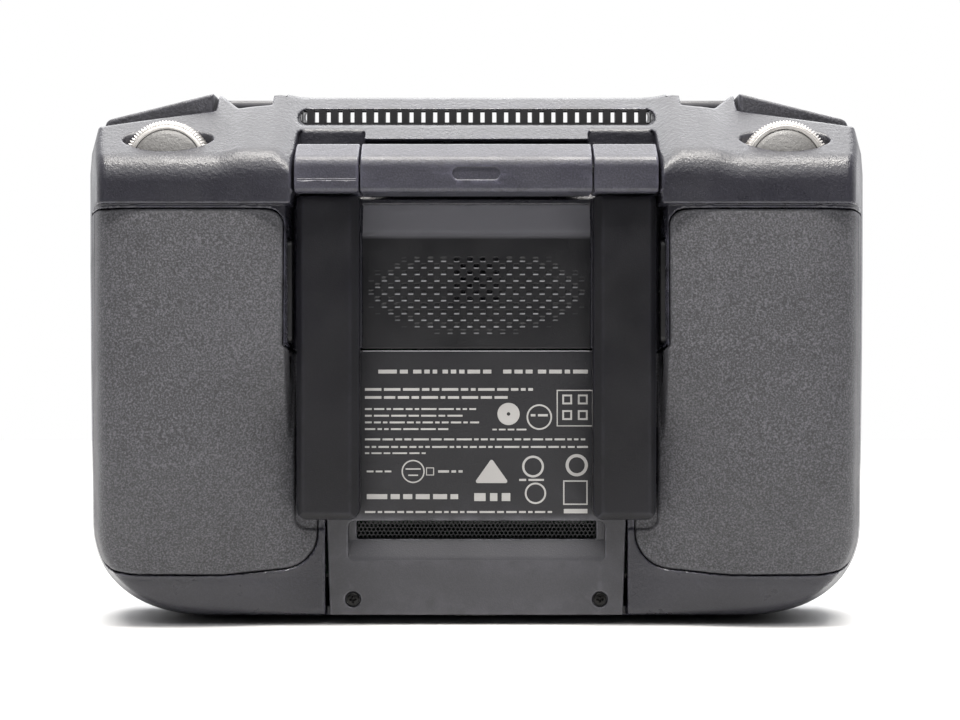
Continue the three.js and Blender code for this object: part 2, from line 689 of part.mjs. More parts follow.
/** A five-way button: a plunger that presses, a rocker and a cap that tilt about X and Z. */
function makeFiveWay(x, z) {
  const y = FRONT_Y - 5;
  const plunger = cut(rod("y", [x, y - 0.7, z], 4, 2.2), rod("x", [x, y + 0.2, z], 1.4, 10, 1.4, 16));
  const cradle = box(x - 1.6, x + 1.6, y - 2, y + 0.6, z - 5, z + 5);
  const foot = box(x - 4, x + 4, y - 2.6, y - 1.5, z - 4, z + 4);
  piece("five_way_plunger", join(cut(plunger, cradle.translate([0, 0.9, 0])), foot), "black");
  const rocker = box(x - 1.2, x + 1.2, y - 0.6, y + 1.6, z - 3.2, z + 3.2);
  piece("five_way_rocker", rocker, "alloy");
  const cap = join(rod("y", [x, y + 4.4, z], 4.9, 2.6, 4.5, 24), rod("y", [x, y + 2.8, z], 2, 1.4, 2, 12));
  piece("five_way_cap", cap, "aerial");
}

function makeWallButtons() {
  const bar = join(
    alongX(rectangle(-22.6, -19.2, 63.3, 86.1, 1.4), 40.6, 45.6, 0.3),
    box(45, 46.1, -22.6, -17.4, 62, 87.4),
  );
  piece("c1_button", bar, "aerial");
  piece("c2_button", mirrored(bar), "aerial");
}

// ---- screen and electronics ---------------------------------------------------------------------

function makeScreen() {
  const { half, z0, z1, thick } = GLASS;
  piece("cover_glass", alongY(rectangle(-half, half, z0, z1, 3), FRONT_Y - thick, FRONT_Y), "glass");
  piece("display_panel", box(-62.4, 62.4, FRONT_Y - 4.6, FRONT_Y - thick - SEAM, 7.4, 73.6), "black");
  piece("heat_spreader", box(-62, 62, FRONT_Y - 6.2, FRONT_Y - 4.9, 7.8, 73.2), "alloy");
}

function makeElectronics() {
  const board = box(-44, 44, 1.4, 3, 9, 76);
  const chips = [
    [-12, 12, 34, 56],
    [18, 32, 30, 44],
    [-32, -20, 50, 64],
    [20, 30, 56, 66],
  ].map(([x0, x1, z0, z1]) => box(x0, x1, -0.2, 1.5, z0, z1));
  piece("main_board", join(board, ...chips), "circuit");
  piece("key_board", box(-42, 42, 0.2, 1.3, 84, 107), "circuit");
  CELL.xs.forEach((x, i) => {
    const shape = rod("z", [x, CELL.y, CELL.z + CELL.length / 2], CELL.r, CELL.length);
    const stem = i ? "battery_cell_outer" : "battery_cell_inner";
    pair(stem, shape, "cell");
  });
  const fan = { x: 0, y: -9.4, z: 42, r: 13.4 };
  const frame = cut(
    alongY(rectangle(-15.4, 15.4, fan.z - 15.4, fan.z + 15.4, 4), -12.8, -5),
    rod("y", [fan.x, -10.2, fan.z], fan.r, 7.2, fan.r, 24),
    box(-9, 9, -11.6, -6.2, fan.z + 8, fan.z + 20),
    rod("y", [fan.x, -6, fan.z], 1.5, 6, 1.5, 12),
  );
  piece("fan_housing", frame, "black");
  const blades = Array.from({ length: 9 }, (_, i) =>
    box(3.6, 12.6, -12, -7.2, -0.5, 0.5).rotate([0, (i * 360) / 9, 0]),
  );
  const hub = join(rod("y", [0, -9.4, 0], 4.6, 5), rod("y", [0, -7, 0], 1.2, 3.6, 1.2, 12));
  const rotor = join(hub, ...blades);
  piece("fan_impeller", rotor.translate([fan.x, 0, fan.z]), "black");
  const fins = stations(-13, 13, 10).map((x) => box(x - 0.5, x + 0.5, -7.6, -1.6, 62, 88));
  piece("heat_sink", join(box(-14, 14, -2.4, -0.9, 62, 88), ...fins), "alloy");
  const speaker = join(rod("y", [0, -11.6, 77.8], 8.6, 2.2, 8.6, 20), rod("y", [0, -9.8, 77.8], 5, 3, 5, 16));
  piece("speaker", speaker, "black");
}

/** The fin insert of the air outlet: a frame with thin upright slats. */
function makeOutlet() {
  const step = (2 * VENT.half - 1.6) / VENT.fins;
  const window = Array.from({ length: VENT.fins }, (_, i) => {
    const x = -VENT.half + 0.8 + step * (i + 0.5);
    return ventSlot(-0.7).intersect(box(x - 0.45, x + 0.45, -12, FRONT_Y, 100, HEIGHT + 2));
  });
  const bar = ventSlot(-SEAM).intersect(box(-HALF, HALF, -6, 0.8, 100, HEIGHT + 2));
  piece("air_outlet_grille", cut(bar, ...window), "black");
}

function makePorts() {
  const { x, y, depth } = PORT;
  const top = SOCKETS.z - 0.6;
  const shell = (w, d) => box(x - w, x + w, y - d, y + d, HEIGHT - depth + SEAM, top);
  const hollow = (w, d) => box(x - w, x + w, y - d, y + d, HEIGHT - depth + 1.4, top + 1);
  const foot = HEIGHT - depth + 1;
  const media = cut(shell(6.7, 2.7), hollow(6.3, 2.3));
  piece("media_port", join(media, box(x - 5, x + 5, y + 1, y + 1.8, foot, top - 2)), "steel");
  const serial = cut(shell(6.6, 2.7), hollow(6.2, 2.3));
  piece("usb_port", mirrored(join(serial, box(x - 5.4, x + 5.4, y - 1.9, y - 0.9, foot, top - 1))), "steel");
  const charge = cut(
    alongY(rectangle(-4.6, 4.6, 0.5, 9, 0.4), -7, -3.6),
    alongY(rectangle(-4.2, 4.2, -1, 7.6, 0.4), -6.6, -4),
  );
  piece("charging_port", join(charge, box(-3.2, 3.2, -5.6, -5, 1.4, 8)), "steel");
}

/** Cross-head screws that hold the centre panel. */
function makeScrews() {
  const [x, z] = [27.7, 5.8];
  const head = rod("y", [x, -16.85, z], 1.35, 1, 1.35, 20);
  const slots = join(
    box(x - 0.9, x + 0.9, -18, -16.9, z - 0.2, z + 0.2),
    box(x - 0.2, x + 0.2, -18, -16.9, z - 0.9, z + 0.9),
  );
  const shank = rod("y", [x, -13.4, z], 0.75, 6.2, 0.75, 10);
  pair("panel_screw", join(cut(head, slots), shank), "screw");
}

makeRearShell();
makeFrontShell();
makeGrips();
makePanel();
makeHinge();
makeAerials();
makeSticks();
makeDials();
makeTriggers();
makeFrontButtons();
makeWallButtons();
makeScreen();
makeElectronics();
makeOutlet();
makePorts();
makeScrews();

export default transmitter;
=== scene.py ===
"""The looks of a hand-held radio transmitter with folding aerials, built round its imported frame.

Lengths in this script are millimetres until a mesh is made, when they become metres.
"""

import functools
import itertools
import json
import math
import random

import bpy
import numpy as np
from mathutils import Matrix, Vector


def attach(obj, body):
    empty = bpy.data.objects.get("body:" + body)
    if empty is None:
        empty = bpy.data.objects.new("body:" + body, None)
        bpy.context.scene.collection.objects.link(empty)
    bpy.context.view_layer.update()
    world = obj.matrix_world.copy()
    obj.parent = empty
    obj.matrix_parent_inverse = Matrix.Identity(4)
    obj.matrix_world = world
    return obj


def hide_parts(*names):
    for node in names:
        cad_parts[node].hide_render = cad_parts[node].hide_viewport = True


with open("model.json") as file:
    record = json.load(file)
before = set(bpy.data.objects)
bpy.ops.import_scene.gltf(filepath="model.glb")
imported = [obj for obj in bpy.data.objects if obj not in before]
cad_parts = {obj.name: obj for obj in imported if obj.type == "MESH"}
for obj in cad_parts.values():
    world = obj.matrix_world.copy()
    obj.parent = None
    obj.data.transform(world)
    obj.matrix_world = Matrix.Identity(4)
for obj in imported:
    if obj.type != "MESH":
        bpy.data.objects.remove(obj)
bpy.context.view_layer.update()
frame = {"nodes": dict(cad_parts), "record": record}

MM = 0.001

# ---- lengths that the pieces share --------------------------------------------------------------

FRONT, SPLIT = 10.0, 1.0  # Y of the front face, and of the joint between the casings
WALL = 2.2
BED = 17.6  # how far behind Y = 0 the aerials lie
CROWN = 30.0  # and the grips reach
PANEL_Y, BAY_Y, NOTCH_Y = -17.0, -14.6, -13.2  # the back's middle, its bend, and behind the hinge
VENT_HALF = 40.7
RISE = 0.8  # how steeply the shoulders' tops climb
NORM = math.hypot(1, RISE)
PLATE = (25.6, 62.0, 94.5)  # half width, bottom and top of the sound plate
STICK = (66.0, -2.0, 92.3)
DIAL = (68.5, -19.6, 102.8)
HINGE = (-22.0, 101.6)  # Y and Z of the aerials' axis
SCREW = (27.7, 5.8)
VENT_LEAN = 0.15  # how steeply the vent climbs forwards
LAP = 0.12  # how far each casing stops short of the joint


# ---- distance fields ----------------------------------------------------------------------------


def smax(a, b, k):
    """The larger of two distances, with a fillet of about size k where they meet."""
    h = np.maximum(k - np.abs(a - b), 0) / k
    return np.maximum(a, b) + h * h * k * 0.25


def smin(a, b, k):
    """The smaller of two distances, filleted likewise."""
    return -smax(-a, -b, k)


def without(shape, k, *holes):
    """A shape with holes cut into it, their rims rounded by about k."""
    for hole in holes:
        shape = smax(shape, -hole, k)
    return shape


def common(*fields):
    """What several shapes have in common, with sharp edges."""
    return functools.reduce(np.maximum, fields)


def ramp(t):
    """Eases from 0 to 1 as t does."""
    c = np.clip(t, 0, 1)
    return c * c * (3 - 2 * c)


def rect(u, v, u0, u1, v0, v1, r=0.0):
    """Distance to a rectangle in a plane, its corners rounded by r."""
    a = np.abs(u - (u0 + u1) / 2) - (u1 - u0) / 2 + r
    b = np.abs(v - (v0 + v1) / 2) - (v1 - v0) / 2 + r
    return np.minimum(np.maximum(a, b), 0) + np.hypot(np.maximum(a, 0), np.maximum(b, 0)) - r


def block(x, y, z, lo, hi, r=0.0):
    """Distance to a box with its edges rounded by r."""
    plan = rect(x, z, lo[0], hi[0], lo[2], hi[2], r)
    deep = np.abs(y - (lo[1] + hi[1]) / 2) - (hi[1] - lo[1]) / 2
    return smax(plan, deep, max(r, 0.05) * 1.4)


def polygon(u, v, points):
    """Exact distance to a closed polygon, negative inside."""
    best = np.full(np.broadcast(u, v).shape, 1e9)
    inside = np.zeros(best.shape, bool)
    for (ax, ay), (bx, by) in zip(points, points[1:] + points[:1]):
        ex, ey = bx - ax, by - ay
        px, py = u - ax, v - ay
        t = np.clip((px * ex + py * ey) / (ex * ex + ey * ey), 0, 1)
        best = np.minimum(best, (px - ex * t) ** 2 + (py - ey * t) ** 2)
        if ay != by:
            inside ^= ((ay <= v) != (by <= v)) & (u < ax + (v - ay) * ex / ey)
    return np.where(inside, -1, 1) * np.sqrt(best)


def rounded(corners, steps=6):
    """A closed outline from corners (u, v, radius), each turned into an arc."""
    out = []
    n = len(corners)
    for i, corner in enumerate(corners):
        u, v, r = (*corner, 0)[:3]
        here = Vector((u, v))
        if r == 0:
            out.append((u, v))
            continue
        back = (Vector(corners[i - 1][:2]) - here).normalized()
        on = (Vector(corners[(i + 1) % n][:2]) - here).normalized()
        half = back.angle(on) / 2
        centre = here + (back + on).normalized() * (r / math.sin(half))
        start = here + back * (r / math.tan(half)) - centre
        stop = here + on * (r / math.tan(half)) - centre
        a0 = math.atan2(start.y, start.x)
        turn = (math.atan2(stop.y, stop.x) - a0 + math.pi) % (2 * math.pi) - math.pi
        for k in range(steps + 1):
            a = a0 + turn * k / steps
            out.append((centre.x + r * math.cos(a), centre.y + r * math.sin(a)))
    return out


class Chart:
    """A field over the (x, z) plane, sampled once and read back by interpolation."""

    STEP = 0.25
    LOW = (-2.0, -4.0)
    HIGH = (93.0, 126.0)

    def __init__(self, field):
        u = np.arange(self.LOW[0], self.HIGH[0], self.STEP)[:, None]
        v = np.arange(self.LOW[1], self.HIGH[1], self.STEP)[None, :]
        self.values = field(u, v).astype(np.float32)

    def __call__(self, x, z):
        s = self.values
        u = np.clip((x - self.LOW[0]) / self.STEP, 0, s.shape[0] - 1.001)
        v = np.clip((z - self.LOW[1]) / self.STEP, 0, s.shape[1] - 1.001)
        i, j = u.astype(int), v.astype(int)
        fu, fv = u - i, v - j
        low = s[i, j] * (1 - fu) + s[i + 1, j] * fu
        high = s[i, j + 1] * (1 - fu) + s[i + 1, j + 1] * fu
        return low * (1 - fv) + high * fv


def round_corner(steps=24, power=2.3):
    """The lower corner of the outline, from the foot round to the side."""
    downs = [math.cos(math.pi / 2 * k / steps) for k in range(steps + 1)]
    return [(60 + 28.2 * (1 - down**power) ** (1 / power), 22 - 22 * down) for down in downs]


SIDE = [(88.6, 60), (88.75, 80), (88.75, 101), (88.4, 105.5), (87.1, 110.6), (60.3, 116.8)]
OUTLINE = [(-20, 0), *round_corner(), *SIDE, (60.2, 121.3), (57, 121.2), (-20, 121.2)]
outline_here = Chart(lambda x, z: polygon(x, z, OUTLINE))


def draft(y, start, rate):
    """How far a face has drawn in at a depth y behind its start, easing in over 3 mm."""
    t = np.maximum(start + 1.5 - y, 0)
    return rate * np.where(t < 3, t * t / 6, t - 1.5)


def foot_rise(y):
    """How far the underside has lifted off the table at a depth y."""
    return draft(y, -4.0, 0.18)


def outline(x, y, z):
    """Distance to the outline, which draws in towards the back as a moulding does."""
    return outline_here(x + draft(y, -9.0, 0.34), z - foot_rise(y))


def depth_of(x, z):
    """How far the back of the set stands behind Y = 0, below the shoulders."""
    a = np.abs(x)
    low = np.clip(z, 0, 11) / 11
    foot = 11 + 10.5 * np.sqrt(1 - (1 - low) ** 2)
    rise = 21.5 + (CROWN - 21.5) * np.sin(math.pi / 2 * np.clip((z - 11) / 34, 0, 1))
    crown = np.where(z < 11, foot, rise - 3.0 * np.clip((z - 14) / 78, 0, 1) ** 1.7)
    gentle = ramp((a - 33) / 29)
    inner = 1 - (1 - np.clip((a - 41.4) / 13, 0, 1)) ** 2.2
    steep = 0.74 * ramp((a - 40.9) / 1.1) + 0.26 * inner
    blend = ramp((z - 40) / 22)
    across = gentle * (1 - blend) + steep * blend
    edge = np.clip((a - 70) / 15.4, 0, 0.97)
    side = (1 - edge**2.8) ** (1 / 2.8)
    return np.where(crown <= BED, crown, BED + (crown - BED) * across * side)


depth = Chart(depth_of)


def steepness(x, z):
    """How much longer the back's surface is than its shadow on the (x, z) plane."""
    h = 0.2
    du = (depth_of(x + h, z) - depth_of(x - h, z)) / (2 * h)
    dv = (depth_of(x, z + h) - depth_of(x, z - h)) / (2 * h)
    return np.sqrt(1 + du**2 + dv**2)


steep = Chart(steepness)

GRIP = rounded(
    [
        (42.4, 92.5, 3.4),
        (42.4, 62.6, 0.8),
        (39.8, 60.6, 0.8),
        (35.6, 57.0, 1.0),
        (35.6, 13.5, 8.0),
        (56.0, 11.9, 12.0),
        (76.0, 12.0, 10.0),
        (95.0, 15.2),
        (95.0, 92.5),
    ],
    8,
)
grip_region = Chart(lambda x, z: polygon(x, z, GRIP))


def slope(x, y, z, shift):
    """Distance above a face that climbs forwards, set back along Y by a shift."""
    return (z - 105 - RISE * (y + 26 - shift)) / NORM


def lean(y, z):
    """The front's upper edge leans back."""
    return (y - FRONT) * 0.871 + (z - 109) * 0.491


def lower_form(x, y, z):
    """The casings below the shoulders, with the grips' swell."""
    back = -(y + depth(x, z)) / steep(x, z)
    return smax(outline(x, y, z), back, 1.6)


def socket_recess(x, y, z):
    """The step in a shoulder's top that the sockets open into, with sloped walls."""
    floor = 118.05 - 0.12 * (x - 46.9) - z
    wall = (y - 1.7 + 0.5 * (121 - z)) * 0.89
    side = (x - 55.6 - 1.2 * (z - 118)) * 0.64
    return smax(smax(smax(floor, wall, 0.4), side, 0.4), 46.9 - x, 0.4)


def outer_form(x, y, z):
    """The outside of both casings together, before anything is let into them."""
    edge = outline(x, y, z)
    lid = z - 97 + 3.2 * ramp((x - 41.2) / 1.2) * ramp((-12 - y) / 3)
    skin = lower_form(x, y, z)
    lower = smax(skin, lid, 0.5)
    lower = np.where(y > SPLIT, lower, smax(lower, 0.28 - z, 0.6))
    dip = 1.3 * ramp((x - 51) / 7)
    top = slope(x, y, z, 0) + dip / NORM
    ridge = smax(-(y + 27.6), top, 3.4)
    open_below = np.minimum(93.6 - z, skin + 2.6)
    shoulder = smax(smax(edge, ridge, 0.8 + 1.4 * ramp((114 - z) / 6)), open_below, 0.3)
    bevel = (43.7 - x) * 0.545 + top * 0.838
    shoulder = smax(shoulder, bevel, 1.2)
    within = np.maximum(np.maximum(x - 47, 88 - z), -(y + 17))
    crest = smax(smax(edge, slope(x, y, z, 4.5), 0.8), within, 0.1)
    form = smin(np.minimum(lower, shoulder), crest, 0.5)
    form = smax(form, -socket_recess(x, y, z), 0.5)
    lip = 116.6 - 0.175 * (x - 60) - z
    form = smax(form, -smax(smax(lip, y + 9.4, 0.4), 60.4 - x, 0.4), 0.5)
    return smax(smax(form, y - FRONT, 3.0), lean(y, z), 2.0)


# ---- what is let into the casings ---------------------------------------------------------------


def bed(x, y, z, grow=0.0):
    """Where an aerial's blade lies."""
    return np.maximum(rect(x, z, 25.2 - grow, 40.4 + grow, 21.9 - grow, 97, 2.2), y + BED - grow)


def floor_of(z):
    """Y of the flat middle of the back, which bends forwards under the hinge bar."""
    return PANEL_Y + (BAY_Y - PANEL_Y) * np.clip((z - 87.5) / 7.3, 0, 1)


def dial_slot(x, y, z):
    """A lens-shaped slot in a shoulder's top, bowed out over the hub of its dial."""
    across = np.abs(x - DIAL[0] - 0.2)
    half = 2.7 * np.sqrt(1 - np.minimum((across / 10.0) ** 2.6, 0.99))
    bow = 1.1 * np.clip(1 - (across / 8.2) ** 2, 0, 1)
    deep = np.abs(y - DIAL[1] + bow / 2) - half - bow / 2
    return smax(np.maximum(np.hypot(x - DIAL[0], z - DIAL[2]) - 11.7, across - 10.0), deep, 0.4)


def recesses(x, y, z):
    """Everything open at the back or top that keeps a wall round it."""
    middle = np.maximum(rect(x, z, -26, 26, -9, 97), y - floor_of(z))
    bay = np.maximum(rect(x, z, -40.3, 40.3, 96.0, 108.9, 1.2), y - NOTCH_Y)
    notch = np.maximum(rect(x, z, 25.3, 40.3, 100, 111.5, 1.3), y - NOTCH_Y)
    vent = rect(x, z - VENT_LEAN * (y + 9), -VENT_HALF, VENT_HALF, 113.5, 116.9, 1.6)
    lid = 107.4 + (85.8 - x) * 0.248 - z
    trigger = common(np.abs(x - 73) - 13, np.abs(y + 2) - 7.4, lid)
    pocket = np.maximum(rect(x, z, 28, 38.2, 66, 90, 4.6), np.abs(y + 14) - 5.8)
    found = (bed(x, y, z), middle, bay, notch, vent, dial_slot(x, y, z), trigger, pocket)
    return functools.reduce(np.minimum, found)


def socket_hole(x, y, z):
    """The hole round the left socket in the top."""
    return np.maximum(rect(x, y, 44.0, 58.0, -5.8, 0.2, 0.4), 108.6 - z)


def let_in(x, y, z):
    """The outside with the recesses in it."""
    return smax(outer_form(x, y, z), -recesses(x, y, z), 0.7)


def hollowed(x, y, z):
    """The wall just under that surface."""
    return np.abs(let_in(x, y, z) + WALL / 2) - WALL / 2


def rear_casing(x, y, z):
    shape = smax(hollowed(x, y, z), y - SPLIT + LAP, 0.3)
    skin = lower_form(x, y, z)
    seat = common(grip_region(x, z) - 0.2, -(skin + 2.35), y + 13.75)
    shape = smax(shape, -seat, 0.25)
    backing = common(grip_region(x, z) - 2.0, np.abs(skin + 3.35) - 1, y + 12.5)
    shape = np.minimum(shape, np.maximum(backing, -recesses(x, y, z)))
    panel = np.maximum(rect(x, z, -33.9, 33.9, -9, 62.0), y + 14.3)
    inside = np.maximum(rect(x, z, -30, 30, 8, 58.8), y + 8)
    half, low, high = PLATE
    plate = np.maximum(rect(x, z, -half, half, low, high), y - floor_of(z) - 1.3)
    button = np.maximum(rect(y, z, -22.8, -18.9, 63.0, 86.4, 1.6), np.abs(x - 43) - 4)
    chamber = block(x, y, z, (44.0, -23.2, 61.2), (47.6, -16.4, 88.2))
    port = socket_hole(x, y, z)
    thread = np.maximum(np.hypot(x - 36, y + 6) - 1.7, z - 9)
    usb = np.maximum(rect(x, y, -4.9, 4.9, -7.3, -3.3, 1.6), z - 9.2)
    screw = np.maximum(np.hypot(x - SCREW[0], z - SCREW[1]) - 1.15, np.abs(y + 12) - 6)
    return without(shape, 0.3, panel, inside, plate, button, chamber, port, thread, usb, screw)


# X, Z and radius of the round keys: home, pause, power and five-way
KEYS = ((36, 104, 4.8), (36, 89, 3.8), (-36, 104, 4.8), (-36, 89, 5.1))


def front_casing(x, y, z):
    a = np.abs(x)
    shape = smax(hollowed(a, y, z), SPLIT + LAP - y, 0.3)
    away = np.hypot(a - STICK[0], z - STICK[2])
    dish = np.maximum((away - 7.6 - (y - 6.8) * 1.136) / 1.5, 5 - y)
    glass = np.maximum(rect(x, z, -67.2, 67.2, 3.4, 77.6, 3.2), 8.5 - y)
    window = rect(x, z, -63, 63, 7, 74, 0.5)
    pills = rect(a, z, 15.9, 24.1, 86.9, 91.1, 2.05)
    track = rect(x, z, -8.4, 8.4, 101.8, 106.2, 2.1)
    light = rect(x, z, -9.3, 9.3, 96.9, 98.3, 0.6)
    keys = [np.hypot(x - u, z - v) - r - 0.4 for u, v, r in KEYS]
    through = [np.maximum(hole, 4 - y) for hole in (window, pills, track, light, *keys)]
    return without(smax(shape, -dish, 0.9), 0.35, glass, *through, socket_hole(a, y, z))


def grip_cover(x, y, z):
    """The soft skin over a grip, cut away where an aerial's bed passes it."""
    skin = lower_form(x, y, z)
    shape = smax(smax(skin, grip_region(x, z), 0.9), y + 14, 0.5)
    return smax(smax(shape, -(skin + 2.1), 0.4), -bed(x, y, z, 0.1), 0.8)


def centre_panel(x, y, z):
    a = np.abs(x)
    taper = 33.6 - 0.033 * (24 - np.minimum(z, 24))
    plan = np.maximum(a - taper, np.abs(z - 30.85) - 30.85)
    plan = smax(plan, foot_rise(y) - z, 0.3)
    shape = smax(smax(plan, PANEL_Y - y, 0.5), y + 14.6, 0.3)
    ramp_in = y - PANEL_Y - np.clip((z - 14.7) * 0.34, 0, 1.45)
    scooped = np.maximum(rect(a, z, -28.8, 28.8, 14.6, 23.4, 1.4), ramp_in)
    slot = rect(a, z, -27, 27, 19.2, 23.3, 0.5)
    head = np.hypot(a - SCREW[0], z - SCREW[1])
    return without(shape, 0.3, scooped, slot, np.maximum(head - 1.75, y + 16.1), head - 1.1)


# ---- surfaces from distance fields --------------------------------------------------------------

NORMAL_REACH = 0.12  # how far to either side a field is read for a normal
BEND_REACH = 0.45  # and for how sharply a surface bends
SETTLE_REACH = 0.02  # and for which way a vertex has to move


def net(field, low, high, step):
    """Vertices and quads where a field is zero, one vertex to a cell, over a box of samples."""
    axes = [np.arange(low[k], high[k] + step, step) for k in range(3)]
    x, y, z = axes[0][:, None, None], axes[1][None, :, None], axes[2][None, None, :]
    f = np.broadcast_to(field(x, y, z), tuple(len(a) for a in axes)).astype(np.float32)
    inside = f < 0
    n = [s - 1 for s in f.shape]
    total = np.zeros(n, np.int8)
    for dx, dy, dz in itertools.product((0, 1), repeat=3):
        total += inside[dx : dx + n[0], dy : dy + n[1], dz : dz + n[2]]
    cells = np.argwhere((total > 0) & (total < 8))
    number = np.full(n, -1, np.int64)
    number[tuple(cells.T)] = np.arange(len(cells))
    place = np.zeros((len(cells), 3))
    count = np.zeros(len(cells))
    quads = []
    for k in range(3):
        a, b = [m for m in range(3) if m != k]
        for da, db in itertools.product((0, 1), repeat=2):
            start = cells.copy()
            start[:, a] += da
            start[:, b] += db
            end = start.copy()
            end[:, k] += 1
            fa, fb = f[tuple(start.T)], f[tuple(end.T)]
            hit = (fa < 0) != (fb < 0)
            point = start[hit].astype(float)
            point[:, k] += fa[hit] / (fa[hit] - fb[hit])
            place[hit] += point
            count[hit] += 1
        first = [slice(0, s) for s in f.shape]
        second = list(first)
        first[k] = slice(0, f.shape[k] - 1)
        second[k] = slice(1, f.shape[k])
        at = np.argwhere(inside[tuple(first)] != inside[tuple(second)])
        at = at[(at[:, a] > 0) & (at[:, b] > 0) & (at[:, a] < n[a]) & (at[:, b] < n[b])]
        ring = []
        for da, db in ((-1, -1), (0, -1), (0, 0), (-1, 0)):
            cell = at.copy()
            cell[:, a] += da
            cell[:, b] += db
            ring.append(number[tuple(cell.T)])
        ring = np.stack(ring, 1)
        flip = inside[tuple(at.T)] != (k == 1)
        ring[~flip] = ring[~flip][:, ::-1]
        quads.append(ring)
    return np.array(low) + step * place / count[:, None], np.concatenate(quads)


def slopes(field, p, h):
    """A field's six values round each point, as pairs along X, Y and Z."""
    x, y, z = p.T
    return [
        (field(x + h, y, z), field(x - h, y, z)),
        (field(x, y + h, z), field(x, y - h, z)),
        (field(x, y, z + h), field(x, y, z - h)),
    ]


def settle(verts, field, step, rounds=3):
    """Moves the vertices onto the field's own zero surface."""
    p = verts.copy()
    for _ in range(rounds):
        grad = np.stack([(a - b) / 0.04 for a, b in slopes(field, p, SETTLE_REACH)], 1)
        size = np.maximum((grad**2).sum(1), 0.05)
        move = -(field(*p.T) / size)[:, None] * grad
        length = np.linalg.norm(move, axis=1, keepdims=True)
        p += move * np.minimum(1, 0.4 * step / np.maximum(length, 1e-9))
        drift = p - verts
        far = np.linalg.norm(drift, axis=1, keepdims=True)
        p = verts + drift * np.minimum(1, 0.8 * step / np.maximum(far, 1e-9))
    return p


def shading(p, field):
    """Normals of a field's surface, and from 0 to 1 how much it is an outward edge."""
    grad = np.stack([a - b for a, b in slopes(field, p, NORMAL_REACH)], 1)
    normals = grad / np.maximum(np.linalg.norm(grad, axis=1, keepdims=True), 1e-9)
    middle = 2 * field(*p.T)
    bend = sum(a + b - middle for a, b in slopes(field, p, BEND_REACH)) / BEND_REACH
    return normals, np.clip((bend - 0.08) / 0.9, 0, 1)


def linked(name, data):
    """An object for a mesh, lamp or camera, in the scene."""
    obj = bpy.data.objects.new(name, data)
    bpy.context.scene.collection.objects.link(obj)
    return obj


def marked(mesh, name, values):
    """Gives each vertex a number that the paints can read."""
    found = mesh.attributes.new(name, "FLOAT", "POINT")
    found.data.foreach_set("value", values.astype(np.float32))


def mesh_object(name, verts, faces, normals=None, edge=None):
    """A mesh object from millimetre vertices."""
    mesh = bpy.data.meshes.new(name)
    mesh.from_pydata((np.asarray(verts) * MM).tolist(), [], faces)
    mesh.polygons.foreach_set("use_smooth", np.ones(len(mesh.polygons), bool))
    if normals is not None:
        marked(mesh, "edge", edge)
        mesh.normals_split_custom_set_from_vertices(normals.tolist())
    mesh.update()
    return linked(name, mesh)


def coordinates(mesh):
    """A mesh's vertices as an array."""
    co = np.zeros(len(mesh.vertices) * 3)
    mesh.vertices.foreach_get("co", co)
    return co.reshape(-1, 3)


def thinned(verts, quads, most):
    """The same surface in at most so many triangles, fine where it bends and coarse where it's flat."""
    mesh = bpy.data.meshes.new("thinned")
    mesh.from_pydata(verts.tolist(), [], quads.tolist())
    obj = linked("thinned", mesh)
    obj.modifiers.new("thin", "DECIMATE").ratio = min(1, most / (2 * len(quads)))
    result = obj.evaluated_get(bpy.context.evaluated_depsgraph_get()).to_mesh()
    found = coordinates(result), [tuple(f.vertices) for f in result.polygons]
    bpy.data.objects.remove(obj)
    bpy.data.meshes.remove(mesh)
    return found


def moulded(name, field, low, high, step, most=60000, symmetric=False):
    """A piece whose shape is a distance field. A symmetric one is worked out for X >= 0 and mirrored."""
    used = (lambda x, y, z: field(np.abs(x), y, z)) if symmetric else field
    if symmetric:
        low = (-step / 2, low[1], low[2])
    verts, quads = net(used, low, high, step)
    verts = settle(verts, used, step)
    if symmetric:
        seam = np.abs(verts[:, 0]) < step * 0.49
        verts[seam, 0] = 0
        moved = np.arange(len(verts))
        moved[~seam] = len(verts) + np.arange((~seam).sum())
        quads = np.concatenate([quads, moved[quads][:, ::-1]])
        verts = np.concatenate([verts, verts[~seam] * (-1, 1, 1)])
    verts, faces = thinned(verts, quads, most)
    verts = settle(verts, used, step / 2, 2)
    return mesh_object(name, verts, faces, *shading(verts, used))


def reflected(obj, name):
    """A copy of a piece, mirrored to the other side of the set."""
    mesh = obj.data
    faces = [tuple(reversed(f.vertices)) for f in mesh.polygons]
    normals = np.zeros((len(mesh.vertices), 3))
    for corner, loop in enumerate(mesh.loops):
        normals[loop.vertex_index] = mesh.corner_normals[corner].vector
    edge = np.zeros(len(mesh.vertices), np.float32)
    if "edge" in mesh.attributes:
        mesh.attributes["edge"].data.foreach_get("value", edge)
    mirror = (-1, 1, 1)
    other = mesh_object(name, coordinates(mesh) * mirror / MM, faces, normals * mirror, edge)
    other.data.polygons.foreach_set("material_index", [f.material_index for f in mesh.polygons])
    return other


# ---- surfaces from sections ---------------------------------------------------------------------


